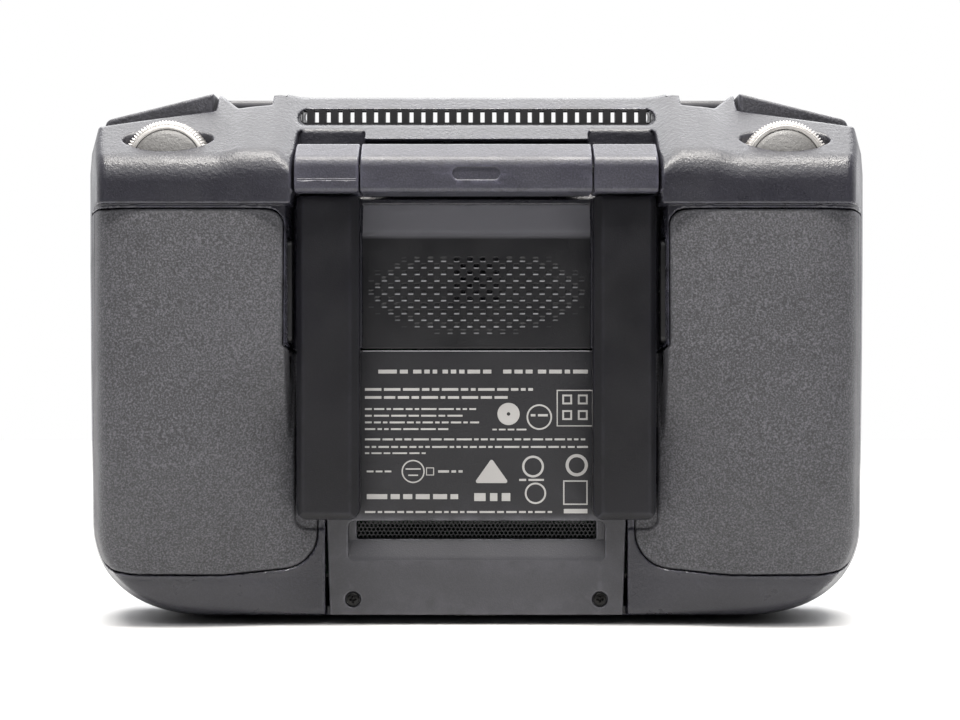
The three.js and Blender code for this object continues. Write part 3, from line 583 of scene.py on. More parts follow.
class Solid:
    """Collects closed shapes in millimetres, each with a material number, and makes one mesh of them."""

    def __init__(self):
        self.verts = []
        self.faces = []
        self.marks = []

    def add(self, verts, faces, mark=0):
        """Adds a shape, with a material number for all its faces or a list with one for each."""
        start = len(self.verts)
        self.verts += [tuple(v) for v in verts]
        self.faces += [tuple(start + i for i in f) for f in faces]
        self.marks += mark if isinstance(mark, list) else [mark] * len(faces)

    def lay(self, verts, faces, axis, mark=0):
        """Adds a shape whose points are two coordinates across an axis and one along it."""
        order = {"x": (2, 0, 1), "y": (0, 2, 1), "z": (0, 1, 2)}[axis]
        if axis == "y":
            faces = [f[::-1] for f in faces]
        self.add([tuple(v[m] for m in order) for v in verts], faces, mark)

    def turned(self, profile, centre, axis="y", sides=64, ring=False):
        """A lathe turning of (radius, height) points about an axis through a point. The profile starts
        and ends on the axis, or closes on itself if it makes a ring."""
        rings, verts, faces = [], [], []
        for r, h in profile:
            if r < 1e-6:
                rings.append([len(verts)] * sides)
                verts.append((0, 0, h))
                continue
            rings.append(list(range(len(verts), len(verts) + sides)))
            for k in range(sides):
                a = 2 * math.pi * k / sides
                verts.append((r * math.cos(a), r * math.sin(a), h))
        for low, high in zip(rings, rings[1:] + (rings[:1] if ring else [])):
            for k in range(sides):
                j = (k + 1) % sides
                faces.append(list(dict.fromkeys((low[k], low[j], high[j], high[k]))))
        order = {"x": (2, 0, 1), "y": (1, 2, 0), "z": (0, 1, 2)}[axis]
        self.add([[v[m] + c for m, c in zip(order, centre)] for v in verts], faces)

    def prism(self, outline, low, high, axis="y", bevel=0.0, steps=3, mark=0):
        """An outline across an axis, from low to high along it, its two rims rounded by a bevel.
        The outline is in (y, z) for axis x, (x, z) for axis y and (x, y) for axis z."""
        loop = np.array(outline, float)
        area = (loop[:, 0] * np.roll(loop[:, 1], -1) - np.roll(loop[:, 0], -1) * loop[:, 1]).sum()
        if area < 0:
            loop = loop[::-1]
        rings = []
        for k in range(steps + 1 if bevel else 1):
            a = math.pi / 2 * k / steps
            rings.append((bevel * (1 - math.sin(a)), low + bevel * (1 - math.cos(a))))
        rings += [(inset, high + low - at) for inset, at in reversed(rings)]
        verts = [(u, v, at) for inset, at in rings for u, v in self.offset(loop, inset)]
        n = len(loop)
        faces = [list(range(n))[::-1], list(range(len(verts) - n, len(verts)))]
        for k in range(len(rings) - 1):
            for i in range(n):
                j = (i + 1) % n
                faces.append([k * n + i, k * n + j, (k + 1) * n + j, (k + 1) * n + i])
        self.lay(verts, faces, axis, mark)

    def frame(self, outer, inner, low, high, axis="y"):
        """A flat frame between two outlines with as many points, from low to high along an axis."""
        n = len(outer)
        verts = [(u, v, at) for at in (low, high) for loop in (outer, inner) for u, v in loop]
        faces = []
        for i in range(n):
            j = (i + 1) % n
            faces += [(n + i, n + j, j, i), (2 * n + i, 2 * n + j, 3 * n + j, 3 * n + i)]
            faces += [(i, j, 2 * n + j, 2 * n + i), (3 * n + i, 3 * n + j, n + j, n + i)]
        self.lay(verts, faces, axis)

    @staticmethod
    def offset(loop, inset):
        """An outline pulled in by an inset, corner by corner."""
        if inset == 0:
            return loop
        on = np.roll(loop, -1, 0) - loop
        on /= np.linalg.norm(on, axis=1, keepdims=True)
        back = np.roll(on, 1, 0)
        normal = np.stack([-on[:, 1] - back[:, 1], on[:, 0] + back[:, 0]], 1)
        length = np.linalg.norm(normal, axis=1, keepdims=True)
        normal /= np.maximum(length, 1e-9)
        return loop + normal * inset * 2 / np.maximum(length, 0.8)

    def box(self, lo, hi, bevel=0.0, mark=0):
        """A box between two corners, its edges across Y rounded by a bevel."""
        corners = [(lo[0], lo[2]), (hi[0], lo[2]), (hi[0], hi[2]), (lo[0], hi[2])]
        self.prism(corners, lo[1], hi[1], "y", bevel, 2, mark)

    def object(self, name, smooth=35):
        """The mesh object, smooth except where it turns by more than so many degrees."""
        mesh = bpy.data.meshes.new(name)
        mesh.from_pydata([tuple(c * MM for c in v) for v in self.verts], [], self.faces)
        mesh.polygons.foreach_set("material_index", self.marks)
        mesh.update()
        mesh.shade_smooth()
        mesh.set_sharp_from_angle(angle=math.radians(smooth))
        return linked(name, mesh)


def stadium(u0, u1, v0, v1, r, steps=6):
    """A rectangle's outline with round corners."""
    return rounded([(u0, v0, r), (u1, v0, r), (u1, v1, r), (u0, v1, r)], steps)


def ring_arc(u, v, r, sides=40, start=0.0):
    """A circle's outline, or a regular polygon's."""
    angles = [start + 2 * math.pi * k / sides for k in range(sides)]
    return [(u + r * math.cos(a), v + r * math.sin(a)) for a in angles]


# ---- materials ----------------------------------------------------------------------------------


def add_node(tree, kind, inputs=(), **settings):
    """A node in a tree, its inputs linked to sockets or set to values."""
    made = tree.nodes.new(kind)
    for key, value in settings.items():
        setattr(made, key, value)
    for key, value in dict(inputs).items():
        if isinstance(value, bpy.types.NodeSocket):
            tree.links.new(value, made.inputs[key])
        else:
            made.inputs[key].default_value = value
    return made
class Paint:
    """A procedural material in the making, worked out from a piece's own place in the set."""

    def __init__(self, name, rough, metal=0.0, coat=0.0, ior=1.5):
        self.mat = bpy.data.materials.new(name)
        self.mat.use_nodes = True
        self.tree = self.mat.node_tree
        self.shader = self.tree.nodes["Principled BSDF"]
        looks = {"Roughness": rough, "Metallic": metal, "Coat Weight": coat, "IOR": ior}
        for key, value in looks.items():
            self.shader.inputs[key].default_value = value
        self.place = self.node("ShaderNodeTexCoord").outputs["Object"]

    def node(self, kind, inputs=(), **settings):
        return add_node(self.tree, kind, inputs, **settings)

    def stretched(self, scale):
        """The place coordinates, scaled differently along X, Y and Z."""
        mapping = self.node("ShaderNodeMapping", {"Vector": self.place, "Scale": scale})
        return mapping.outputs["Vector"]

    def noise(self, size, detail=2.0, rough=0.5, where=None):
        """Noise from 0 to 1 whose lumps are about so many millimetres across."""
        inputs = {"Vector": where or self.place, "Scale": 1000 / size, "Detail": detail, "Roughness": rough}
        return self.node("ShaderNodeTexNoise", inputs).outputs["Fac"]

    def cells(self, size, feature="F1", **more):
        """Voronoi cells about so many millimetres across, as a distance from 0 at their middles."""
        inputs = {"Vector": self.place, "Scale": 1000 / size, **more}
        return self.node("ShaderNodeTexVoronoi", inputs, feature=feature).outputs["Distance"]

    def spread(self, value, low, high, a=0.0, b=1.0):
        """Maps low..high on to a..b, held at both ends."""
        inputs = {"Value": value, "From Min": low, "From Max": high, "To Min": a, "To Max": b}
        return self.node("ShaderNodeMapRange", inputs).outputs["Result"]

    def height(self, low, high):
        """From 0 to 1 between two heights on the set."""
        split = self.node("ShaderNodeSeparateXYZ", {0: self.place})
        return self.spread(split.outputs["Z"], low * MM, high * MM)

    def maths(self, kind, a, b):
        return self.node("ShaderNodeMath", {0: a, 1: b}, operation=kind).outputs["Value"]

    def mix(self, share, a, b, kind="MIX"):
        """A colour between two colours or sockets."""
        inputs = {0: share, 6: a, 7: b}
        return self.node("ShaderNodeMix", inputs, data_type="RGBA", blend_type=kind).outputs[2]

    def mark(self, name):
        """A number that the mesh gives its vertices, such as how much of an outward edge each is."""
        return self.node("ShaderNodeAttribute", attribute_name=name).outputs["Fac"]

    def bump(self, height, distance, after=None):
        """A normal from a height in the paint, so many millimetres from lowest to highest."""
        inputs = {"Height": height, "Distance": distance * MM}
        if after is not None:
            inputs["Normal"] = after
        return self.node("ShaderNodeBump", inputs).outputs["Normal"]

    def finish(self, colour=None, rough=None, normal=None):
        """The material, with what varies over its surface linked in."""
        for name, value in (("Base Color", colour), ("Roughness", rough), ("Normal", normal)):
            if value is not None:
                self.tree.links.new(value, self.shader.inputs[name])
        return self.mat


def grey(value, warm=0.0):
    """A linear colour from an 8-bit grey, a little warm (+) or cold (-)."""
    c = (value / 255) ** 2.2
    return (c * (1 + 0.04 * abs(warm) + max(warm, 0)), c, c * (1 - warm), 1)


def plastic_look(
    name, dark, light, rough, grain, depth, warm=-0.32, leather=0.0, speck=0.0, worn=1.3, ior=1.5
):
    """Moulded plastic: cloudy colour, a spark-eroded grain, a patchy sheen and rubbed outward edges.
    dark and light are 8-bit greys, grain is the size of its bumps and depth their height in mm.
    Returns the paint with its colour, roughness and normal."""
    p = Paint(name, rough, ior=ior)
    clouds = p.noise(26, 3)
    fine = p.noise(grain, 2.5, 0.55)
    colour = p.mix(p.spread(clouds, 0.35, 0.65), grey(dark, warm), grey(light, warm))
    if speck:
        colour = p.mix(p.spread(fine, 0.5, 0.68, 0, speck), colour, grey(light * 1.5, warm))
        colour = p.mix(p.spread(fine, 0.5, 0.34, 0, speck), colour, grey(dark * 0.6, warm))
    rubbed = p.maths("MULTIPLY", p.mark("edge"), p.spread(p.noise(3.5, 4), 0.35, 0.62))
    colour = p.mix(p.maths("MULTIPLY", rubbed, 0.55), colour, grey(light * worn + 18, warm))
    sheen = p.spread(p.noise(9, 4), 0.3, 0.7, rough - 0.06, rough + 0.07)
    sheen = p.maths("SUBTRACT", sheen, p.maths("MULTIPLY", rubbed, 0.12))
    normal = p.bump(fine, depth)
    if leather:
        normal = p.bump(p.cells(grain * 2.6, "SMOOTH_F1", Smoothness=0.6), leather, after=normal)
    return p, colour, sheen, normal


def plastic(*sizes, **looks):
    """Plastic that is the same all over."""
    p, *found = plastic_look(*sizes, **looks)
    return p.finish(*found)


def metal(name, colour, rough, brushed=(1, 1, 1), depth=0.004):
    """Bare or plated metal with fine machining lines and a patchy sheen."""
    p = Paint(name, rough, metal=1.0)
    lines = p.noise(0.22, 3, 0.6, p.stretched(brushed))
    stain = p.noise(6, 4)
    shade = p.mix(p.spread(stain, 0.3, 0.7), grey(colour), grey(colour * 0.9, 0.02))
    shade = p.mix(p.spread(lines, 0.4, 0.7, 0, 0.25), shade, grey(colour * 0.8))
    return p.finish(shade, p.spread(lines, 0.3, 0.7, rough - 0.07, rough + 0.1), p.bump(lines, depth))


def glass_black():
    """The screen's cover glass, black behind, with faint smears."""
    p = Paint("cover_glass_black", 0.06, coat=0.4, ior=1.52)
    smears = p.noise(14, 5, 0.6)
    colour = p.mix(p.spread(smears, 0.3, 0.7), grey(9), grey(13, -0.06))
    rough = p.spread(p.noise(7, 5, 0.65), 0.45, 0.75, 0.04, 0.16)
    return p.finish(colour, rough, p.bump(p.noise(30, 1), 0.01))


def ivory(name, value, rough):
    """Light dial plastic or satin plating with a trace of dirt."""
    p = Paint(name, rough, metal=0.35)
    dirt = p.spread(p.noise(1.6, 4), 0.45, 0.75, 0, 0.45)
    colour = p.mix(dirt, grey(value, 0.03), grey(value * 0.72, 0.05))
    sheen = p.spread(p.noise(2.5, 3), 0.3, 0.7, rough - 0.06, rough + 0.1)
    return p.finish(colour, sheen, p.bump(p.noise(0.3), 0.006))


def circuit():
    """Green board with a faint weave and darker tracks."""
    p = Paint("circuit_green", 0.4, coat=0.3)
    tracks = p.cells(2.4, "DISTANCE_TO_EDGE")
    colour = p.mix(p.spread(tracks, 0.04, 0.07), (0.02, 0.09, 0.035, 1), (0.01, 0.045, 0.02, 1))
    colour = p.mix(p.spread(p.noise(0.5), 0.4, 0.7, 0, 0.2), colour, (0.05, 0.12, 0.05, 1))
    return p.finish(colour, p.spread(p.noise(3), 0.3, 0.7, 0.32, 0.5), p.bump(tracks, 0.03))


def cell_wrap():
    """Shrink sleeve of a battery cell, with faint wrinkles."""
    p = Paint("cell_sleeve", 0.35, coat=0.2)
    wrinkles = p.noise(3, 4, 0.6, p.stretched((1, 1, 0.3)))
    colour = p.mix(p.spread(wrinkles, 0.3, 0.7), (0.03, 0.1, 0.22, 1), (0.045, 0.14, 0.28, 1))
    return p.finish(colour, p.spread(wrinkles, 0.3, 0.7, 0.28, 0.45), p.bump(wrinkles, 0.05))


def lamp():
    """Milky light guide."""
    p = Paint("light_guide", 0.3)
    cloud = p.noise(2, 3)
    colour = p.mix(p.spread(cloud, 0.3, 0.7), grey(214), grey(226, 0.01))
    return p.finish(colour, p.spread(cloud, 0.3, 0.7, 0.22, 0.36), p.bump(p.noise(0.4), 0.004))


def panel_paint():
    """The centre panel's plastic, made darker from just above the air intake up to its top, between the
    aerials.
    """
    p, colour, sheen, normal = plastic_look("panel_fine", 54, 60, 0.46, 0.3, 0.05, warm=-0.15, speck=0.1)
    # The panel's colour is multiplied darker above a height of about 24 mm.
    darker_upper_field = p.mix(1.0, colour, (0.19, 0.19, 0.22, 1), "MULTIPLY")
    return p.finish(p.mix(p.height(23.6, 25.2), colour, darker_upper_field), sheen, normal)


def plate_paint():
    """The sound plate's plastic: the floors of its open holes painted black as painted shade, the band
    where it bends painted lighter as painted light, and painted highlights on its lips.
    """
    p, colour, sheen, normal = plastic_look("sound_plate_fine", 19, 24, 0.42, 0.3, 0.03, warm=-0.38)
    # Painted shade: the floors of the open holes are painted black for the dark inside them.
    colour = p.mix(p.mark("hole_shade"), colour, (0.001, 0.001, 0.001, 1))
    # Painted light: the band that bends forwards under the hinge bar is painted lighter, as if lit there.
    colour = p.mix(p.height(86.6, 88.4), colour, grey(122, -0.12))
    # Painted highlight: the dimples' lower lips are painted light grey, as if catching the light.
    return p.finish(p.mix(p.mark("lip"), colour, grey(196, -0.05)), sheen, normal)


PAINT = {
    "shell": plastic("casing_graphite", 40, 45, 0.31, 0.34, 0.08, leather=0.05, speck=0.2),
    "smooth": plastic("casing_fine", 40, 45, 0.42, 0.3, 0.03),
    "panel": panel_paint(),
    "grip": plastic("grip_coating", 60, 66, 0.56, 0.4, 0.11, warm=-0.12, speck=0.7),
    "aerial": plastic("aerial_satin", 19, 24, 0.45, 0.35, 0.05, warm=-0.42, speck=0.15, ior=1.38),
    "hinge": plastic("hinge_textured", 52, 58, 0.38, 0.4, 0.07, leather=0.03, speck=0.3),
    "key": plastic("key_black", 30, 35, 0.42, 0.3, 0.02),
    # Painted shade: near-black for the wall keys, which sit in shadow in their channel.
    "black": plastic("inner_black", 18, 22, 0.5, 0.4, 0.02, worn=1.1),
    "soot": plastic("grille_black", 20, 25, 0.5, 0.35, 0.02, worn=1.1),
    "mesh": plastic("mesh_black", 24, 30, 0.45, 0.2, 0.01),
    "print": plastic("label_ink", 150, 164, 0.55, 0.25, 0.006, warm=0.02, worn=1.0),
    "bright": ivory("dial_plating", 206, 0.3),
    "ivory": ivory("dial_ring", 180, 0.42),
    # Painted highlight: a light grey for the panel's thin top lip, standing in for the light its edge
    # catches.
    "rim": plastic("panel_rim", 138, 150, 0.36, 0.3, 0.04, warm=-0.08),
    "hub": plastic("dial_hub", 98, 108, 0.4, 0.34, 0.1, warm=0.02, leather=0.06),
    "trigger": plastic("trigger_fine", 54, 62, 0.42, 0.34, 0.08, warm=-0.2, leather=0.04, speck=0.4),
    "screw": metal("screw_black_zinc", 50, 0.34),
    "steel": metal("socket_steel", 178, 0.28, (1, 1, 4)),
    "alloy": metal("alloy_satin", 160, 0.36, (1, 5, 1)),
    "glass": glass_black(),
    "circuit": circuit(),
    "cell": cell_wrap(),
    "light": lamp(),
    "plate": plate_paint(),
}

ROOT = "controller"


def place(obj, body, slot, paints, *nodes):
    """Paints a piece, sets it on its body, and hides the CAD nodes it stands for."""
    for paint in [paints] if isinstance(paints, str) else paints:
        obj.data.materials.append(PAINT[paint])
    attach(obj, body)
    if nodes:
        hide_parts(*nodes)
    return obj


def pair_of(obj, stem, body, slot, paints, *nodes, sides=("left", "right")):
    """Places a piece and its mirror image. SIDE in a body's or a node's name stands for the side."""
    other = reflected(obj, f"{stem}_{sides[1]}")
    obj.name = f"{stem}_{sides[0]}"
    for made, side in zip((obj, other), sides):
        found = [node.replace("SIDE", side) for node in nodes]
        place(made, body.replace("SIDE", side), slot, paints, *found)


# ---- casings ------------------------------------------------------------------------------------

ROUGH = 1.0


def make_casings():
    low, high = (0, -30.5, -1), (90, 2, 122.5)
    rear = moulded("rear_casing", rear_casing, low, high, 0.45 * ROUGH, 190000, symmetric=True)
    place(rear, ROOT, "casing", "shell", "rear_shell")
    front = moulded("front_casing", front_casing, (-90, 0, -1), (90, 11, 122.5), 0.5 * ROUGH, 100000)
    place(front, ROOT, "casing", "smooth", "front_shell")
    grip = moulded("grip", grip_cover, (34, -31, 11), (90, -13, 94), 0.45 * ROUGH, 40000)
    pair_of(grip, "grip_skin", ROOT, "grip", "grip", "grip_cover_SIDE")


DIMPLE = (1.475, 1.47)  # half the pitch along a row, and the pitch of the rows
HOLE_TOP = 82.05


def dimples(x, z):
    """Depth of the sound plate's dimples, where their open holes are, whose floors get painted shade, and
    how strongly their lips get a painted highlight.
    """
    row = np.round((HOLE_TOP - z) / DIMPLE[1])
    middle_z = HOLE_TOP - row * DIMPLE[1]
    shift = np.where(row % 2 == 0, DIMPLE[0], 0)
    middle_x = np.round((x - shift) / (2 * DIMPLE[0])) * 2 * DIMPLE[0] + shift
    across, up = x - middle_x, z - middle_z
    pocket = rect(across, up, -0.55, 0.55, -0.36, 0.42, 0.16)
    rising = ramp((up + 0.52) / 0.46)
    # Painted highlight: a bright band along each dimple's lower lip, for the paint to read.
    lip = np.exp(-(((up + 0.4) / 0.115) ** 2)) * np.clip((0.62 - np.abs(across)) / 0.12, 0, 1)
    reach = np.hypot(middle_x / 24.6, (middle_z - 74.8) / 9.6)
    fade = np.clip((1.03 - reach) / 0.3, 0, 1) * (row >= 0) * (row <= 11)
    through = (row >= 0) & (row <= 6) & (np.abs(middle_x) < 4.5)
    shallow = 0.42 * fade * rising * ramp(np.clip(-pocket / 0.14 + 0.6, 0, 1))
    deep = np.where(through & (pocket < 0), 1.7 * np.clip(-pocket / 0.12, 0, 1), shallow)
    # The second mask marks the open holes' floors for painted shade.
    return deep, through & (pocket < -0.06), lip * fade


def make_sound_plate():
    """The middle of the back: it bends forwards under the hinge bar, and its dimples hide the speaker."""
    half, low, high = PLATE
    step = 0.13 * ROUGH
    xs = np.linspace(-half + 0.03, half - 0.03, int(2 * half / step))
    zs = np.linspace(low + 0.04, high - 0.03, int((high - low) / step))
    x, z = np.meshgrid(xs, zs, indexing="ij")
    deep, hole_shade, lip = dimples(x, z)
    y = floor_of(z) + deep
    y[:, 0] += 0.12
    inner = np.full_like(y, PANEL_Y + 3.6)
    verts = np.concatenate([np.stack([x, side, z], -1).reshape(-1, 3) for side in (y, inner)])
    at = np.arange(x.size).reshape(x.shape)
    quads = np.stack([at[:-1, :-1], at[1:, :-1], at[1:, 1:], at[:-1, 1:]], -1)
    faces = quads.reshape(-1, 4).tolist()
    rim = np.concatenate([at[:-1, 0], at[-1, :-1], at[:0:-1, -1], at[0, :0:-1]]).tolist()
    faces += [[b, a, a + x.size, b + x.size] for a, b in zip(rim, rim[1:] + rim[:1])]
    faces.append([a + x.size for a in rim][::-1])
    used = sorted(set(i for f in faces for i in f))
    number = {v: k for k, v in enumerate(used)}
    obj = mesh_object("sound_plate", verts[used], [[number[i] for i in f] for f in faces])
    # Marks for the painted shade in the open holes and the painted highlight on the lips.
    for name, values in (("hole_shade", hole_shade), ("lip", lip)):
        marked(obj.data, name, np.concatenate([values.reshape(-1), np.zeros(x.size)])[used])
    obj.data.set_sharp_from_angle(angle=math.radians(60))
    place(obj, ROOT, "casing", "plate", "rear_shell")



# ---- centre panel -------------------------------------------------------------------------------


def make_panel():
    low, high = (0, -18, -1), (34.5, -14, 62.5)
    panel = moulded("label_panel", centre_panel, low, high, 0.22 * ROUGH, 40000, symmetric=True)
    place(panel, ROOT, "panel", "panel", "centre_panel")
    mesh = Solid()
    pitch = 0.95
    size = pitch / math.sqrt(3)
    for row in range(9):
        z = 17.9 + row * pitch * math.sqrt(3) / 2
        for column in range(60):
            x = (column - 29.5 + 0.5 * (row % 2)) * pitch
            outer, inner = [ring_arc(x, z, size * k, 6, math.pi / 6) for k in (1.02, 0.74)]
            mesh.frame(outer, inner, -14.0, -13.5)
    for z0, z1 in ((16.8, 17.9), (24.6, 25.2)):
        mesh.box((-28.6, -14.0, z0), (28.6, -13.4, z1), 0.05)
    place(mesh.object("intake_mesh"), ROOT, "black", "mesh", "air_intake_mesh")
    # Painted highlight: a thin light-grey strip along the panel's top edge, for the bright line that edge
    # shows.
    lip = Solid()
    lip.box((-25.4, PANEL_Y - 0.1, 61.4), (25.4, PANEL_Y + 0.4, 61.62), 0.07)
    place(lip.object("panel_top_lip"), ROOT, "panel", "rim", "centre_panel")
    make_label()
    make_screw()


# Lines of stand-in words: start and end along X, height, size of letters, and seed of their lengths
WORDS = (
    (-22, -15.4, 56.9, 1.3, 0),
    (-14.2, -8.8, 56.9, 1.3, 1),
    (-7.6, 4.6, 56.9, 1.3, 2),
    (6.0, 12.6, 56.9, 1.3, 3),
    (13.8, 25, 56.9, 1.3, 4),
    (-25, 13, 52.9, 0.9, 11),
    (-25, 7, 51.1, 0.9, 12),
    (-25, 0, 48.5, 0.62, 20),
    (-25, -2.4, 47.0, 0.62, 21),
    (-25, 0.6, 45.5, 0.62, 22),
    (-25, -6, 44.0, 0.62, 23),
    (12.2, 16.0, 47.1, 0.8, 31),
    (3.6, 11.2, 43.9, 0.55, 32),
    (-25, 25, 41.7, 0.66, 41),
    (-25, 25, 40.0, 0.66, 42),
    (-25, -11.4, 38.6, 0.55, 43),
    (-24.6, -18.2, 34.5, 0.6, 51),
    (-8.6, -3.1, 34.5, 0.8, 52),
    (9.6, 15.8, 32.6, 0.7, 53),
    (-24.6, -4.1, 28.85, 1.7, 61),
    (-0.5, 7.6, 28.75, 2.7, 62),
    (-25, 17, 25.4, 0.66, 71),
)
BARS = ((-15.9, -12.5, 34.9, 35.2), (-15.3, -13.1, 33.5, 33.8), (19.6, 24.9, 25.1, 26.1))
# X, Z and the two radii of the rings
HOOPS = (
    (7.2, 47.4, 2.5, 0.4),
    (14.1, 46.7, 2.87, 2.5),
    (-14.2, 34.5, 2.6, 2.3),
    (12.7, 35.6, 2.45, 1.95),
    (22.5, 35.9, 2.5, 1.8),
    (13.25, 29.6, 2.4, 2.0),
)
# X, Z, half size and line of the squares
SQUARES = (
    (22.1, 48.7, 4.1, 0.24),
    *((22.1 + u, 48.9 + v, 1.1, 0.4) for u in (-1.75, 1.75) for v in (-1.75, 1.75)),
    (-10.4, 34.5, 0.9, 0.2),
    (22.2, 29.75, 2.75, 0.3),
)
TRIANGLE = ((-0.5, 31.9, 0.4), (7.3, 31.9, 0.4), (3.4, 37.4, 0.4))
def make_label():
    """Print on the centre panel: plain bars, rings and squares in place of wording and marks."""
    ink = Solid()
    front, back = PANEL_Y - 0.03, PANEL_Y + 0.02

    def bar(x0, x1, z0, z1):
        ink.box((x0, front, z0), (x1, back, z1))

    for start, end, z, tall, seed in WORDS:
        rng = random.Random(seed)
        x = start
        while x < end - 0.8:
            wide = min(rng.choice((1.1, 1.7, 2.6, 3.8)) * (0.7 + 0.3 * tall), end - x)
            bar(x, x + wide, z - tall * 0.33, z + tall * 0.33)
            x += wide + 0.38 + 0.22 * tall
    for edges in BARS:
        bar(*edges)
    for x, z, outer, inner in HOOPS:
        ink.frame(ring_arc(x, z, outer), ring_arc(x, z, inner), front, back)
    for x, z, half, line in SQUARES:
        outer, inner = [
            [(x - h, z - h), (x + h, z - h), (x + h, z + h), (x - h, z + h)] for h in (half, half - line)
        ]
        ink.frame(outer, inner, front, back)
    ink.prism(rounded(TRIANGLE, 4), front, back)
    place(ink.object("label_print"), ROOT, "panel", "print")


def screw_head(x, y, z):
    """A cross-recessed pan head, its face towards the back."""
    a, b = np.abs(x - SCREW[0]), np.abs(z - SCREW[1])
    r = np.hypot(a, b)
    head = smax(smax(r - 1.4, -17.22 - y + 0.1 * r**2, 0.2), y + 16.3, 0.1)
    length = 0.85 - 0.5 * (y + 17.2)
    width = 0.24 - 0.16 * np.clip(y + 17.2, 0, 1)
    cross = np.minimum(np.maximum(a - length, b - width), np.maximum(b - length, a - width))
    return smax(head, -np.maximum(cross, y + 16.6), 0.06)


def make_screw():
    head = moulded("screw_head", screw_head, (26.1, -17.5, 4.2), (29.3, -16, 7.4), 0.055 * ROUGH, 9000)
    shank = Solid()
    profile = [(0, -16.35), (0.72, -16.35), (0.72, -10.6), (0.3, -10.2), (0, -10.2)]
    shank.turned(profile, (SCREW[0], 0, SCREW[1]), sides=20)
    join(head, shank.object("screw_shank"))
    pair_of(head, "pan_screw", ROOT, "screw", "screw", "panel_screw_SIDE")


def join(obj, other):
    """Joins another piece's mesh to a piece."""
    bpy.ops.object.select_all(action="DESELECT")
    obj.select_set(True)
    other.select_set(True)
    bpy.context.view_layer.objects.active = obj
    bpy.ops.object.join()


# ---- hinge and aerials --------------------------------------------------------------------------

HINGE_SECTION = rounded(
    [
        (-27.6, 96.0, 1.1),
        (-16.4, 96.0, 2.4),
        (-16.4, 107.2, 2.4),
        (-22.6, 107.2, 1.4),
        (-27.6, 103.2, 3.6),
    ],
    8,
)


def pin_hole(y, z):
    """The hole for a hinge pin, endless along X."""
    return np.hypot(y - HINGE[0], z - HINGE[1]) - 1.5


def hinge_bar(x, y, z):
    """The bar between the aerials, with a plain shallow recess in the middle of its back."""
    shape = smax(polygon(y, z, HINGE_SECTION), x - 25.3, 0.5)
    badge = np.maximum(rect(x, z, -5.2, 5.2, 98.7, 101.5, 1.4), y + 27.25)
    foot = block(x, y, z, (-24, -17.5, 97.4), (24, -14.9, 106.6), 0.4)
    shape = np.minimum(smax(shape, -badge, 0.18), foot)
    return smax(shape, -np.maximum(pin_hole(y, z), 17 - x), 0.1)


def knuckle(x, y, z):
    """The turning end of an aerial, in line with the bar."""
    shape = smax(polygon(y, z, HINGE_SECTION), np.abs(x - 32.65) - 7.05, 0.6)
    return smax(shape, -np.maximum(pin_hole(y, z), x - 36), 0.1)


def blade_plan(x, z):
    """An aerial's blade seen from behind, its lower corners the rounder ones."""
    return rect(x, z, 25.7, 39.6, 24.3, 95.7, 2.4 - 1.3 * ramp((z - 55) / 10))


def blade_cover(x, y, z):
    """The outer half of an aerial, its back edges chamfered."""
    back = -24.9 - y
    shape = smax(blade_plan(x, z), np.maximum(back, y + 21.45), 0.3)
    inner = (27.7 - x) * 0.67 + back * 0.742
    outer = (x - 38.1) * 0.655 + back * 0.756
    tip = (25.7 - z) * 0.7 + back * 0.714
    top = (z - 95.2) * 0.7 + back * 0.714
    for face in (inner, outer, tip, top):
        shape = smax(shape, face, 0.3)
    return shape


def blade_back(x, y, z):
    """The inner half, a little smaller, which shows as a step."""
    return smax(smax(blade_plan(x, z) + 0.12, -21.15 - y, 0.3), y + 18.2, 1.4)


def make_hinge():
    low, high = (0, -28.2, 95.4), (26, -14.4, 107.8)
    bar = moulded("bar_cover", hinge_bar, low, high, 0.2 * ROUGH, 36000, symmetric=True)
    place(bar, ROOT, "casing", "hinge", "hinge_bar")
    turning = "aerial_SIDE"
    cap = moulded("cap", knuckle, (25, -28.2, 95.4), (40.2, -15.8, 107.8), 0.2 * ROUGH, 18000)
    pair_of(cap, "hinge_cap", turning, "casing", "hinge", "aerial_knuckle_SIDE")
    low, high = (25.1, -25.5, 23.7), (40.2, -17.7, 96.3)
    cover = moulded("cover", blade_cover, low, high, 0.28 * ROUGH, 26000)
    pair_of(cover, "blade_cover", turning, "aerial", "aerial", "aerial_cover_SIDE")
    back = moulded("back", blade_back, low, high, 0.32 * ROUGH, 16000)
    pair_of(back, "blade_back", turning, "aerial", "aerial", "aerial_back_SIDE")


# ---- dials and triggers -------------------------------------------------------------------------


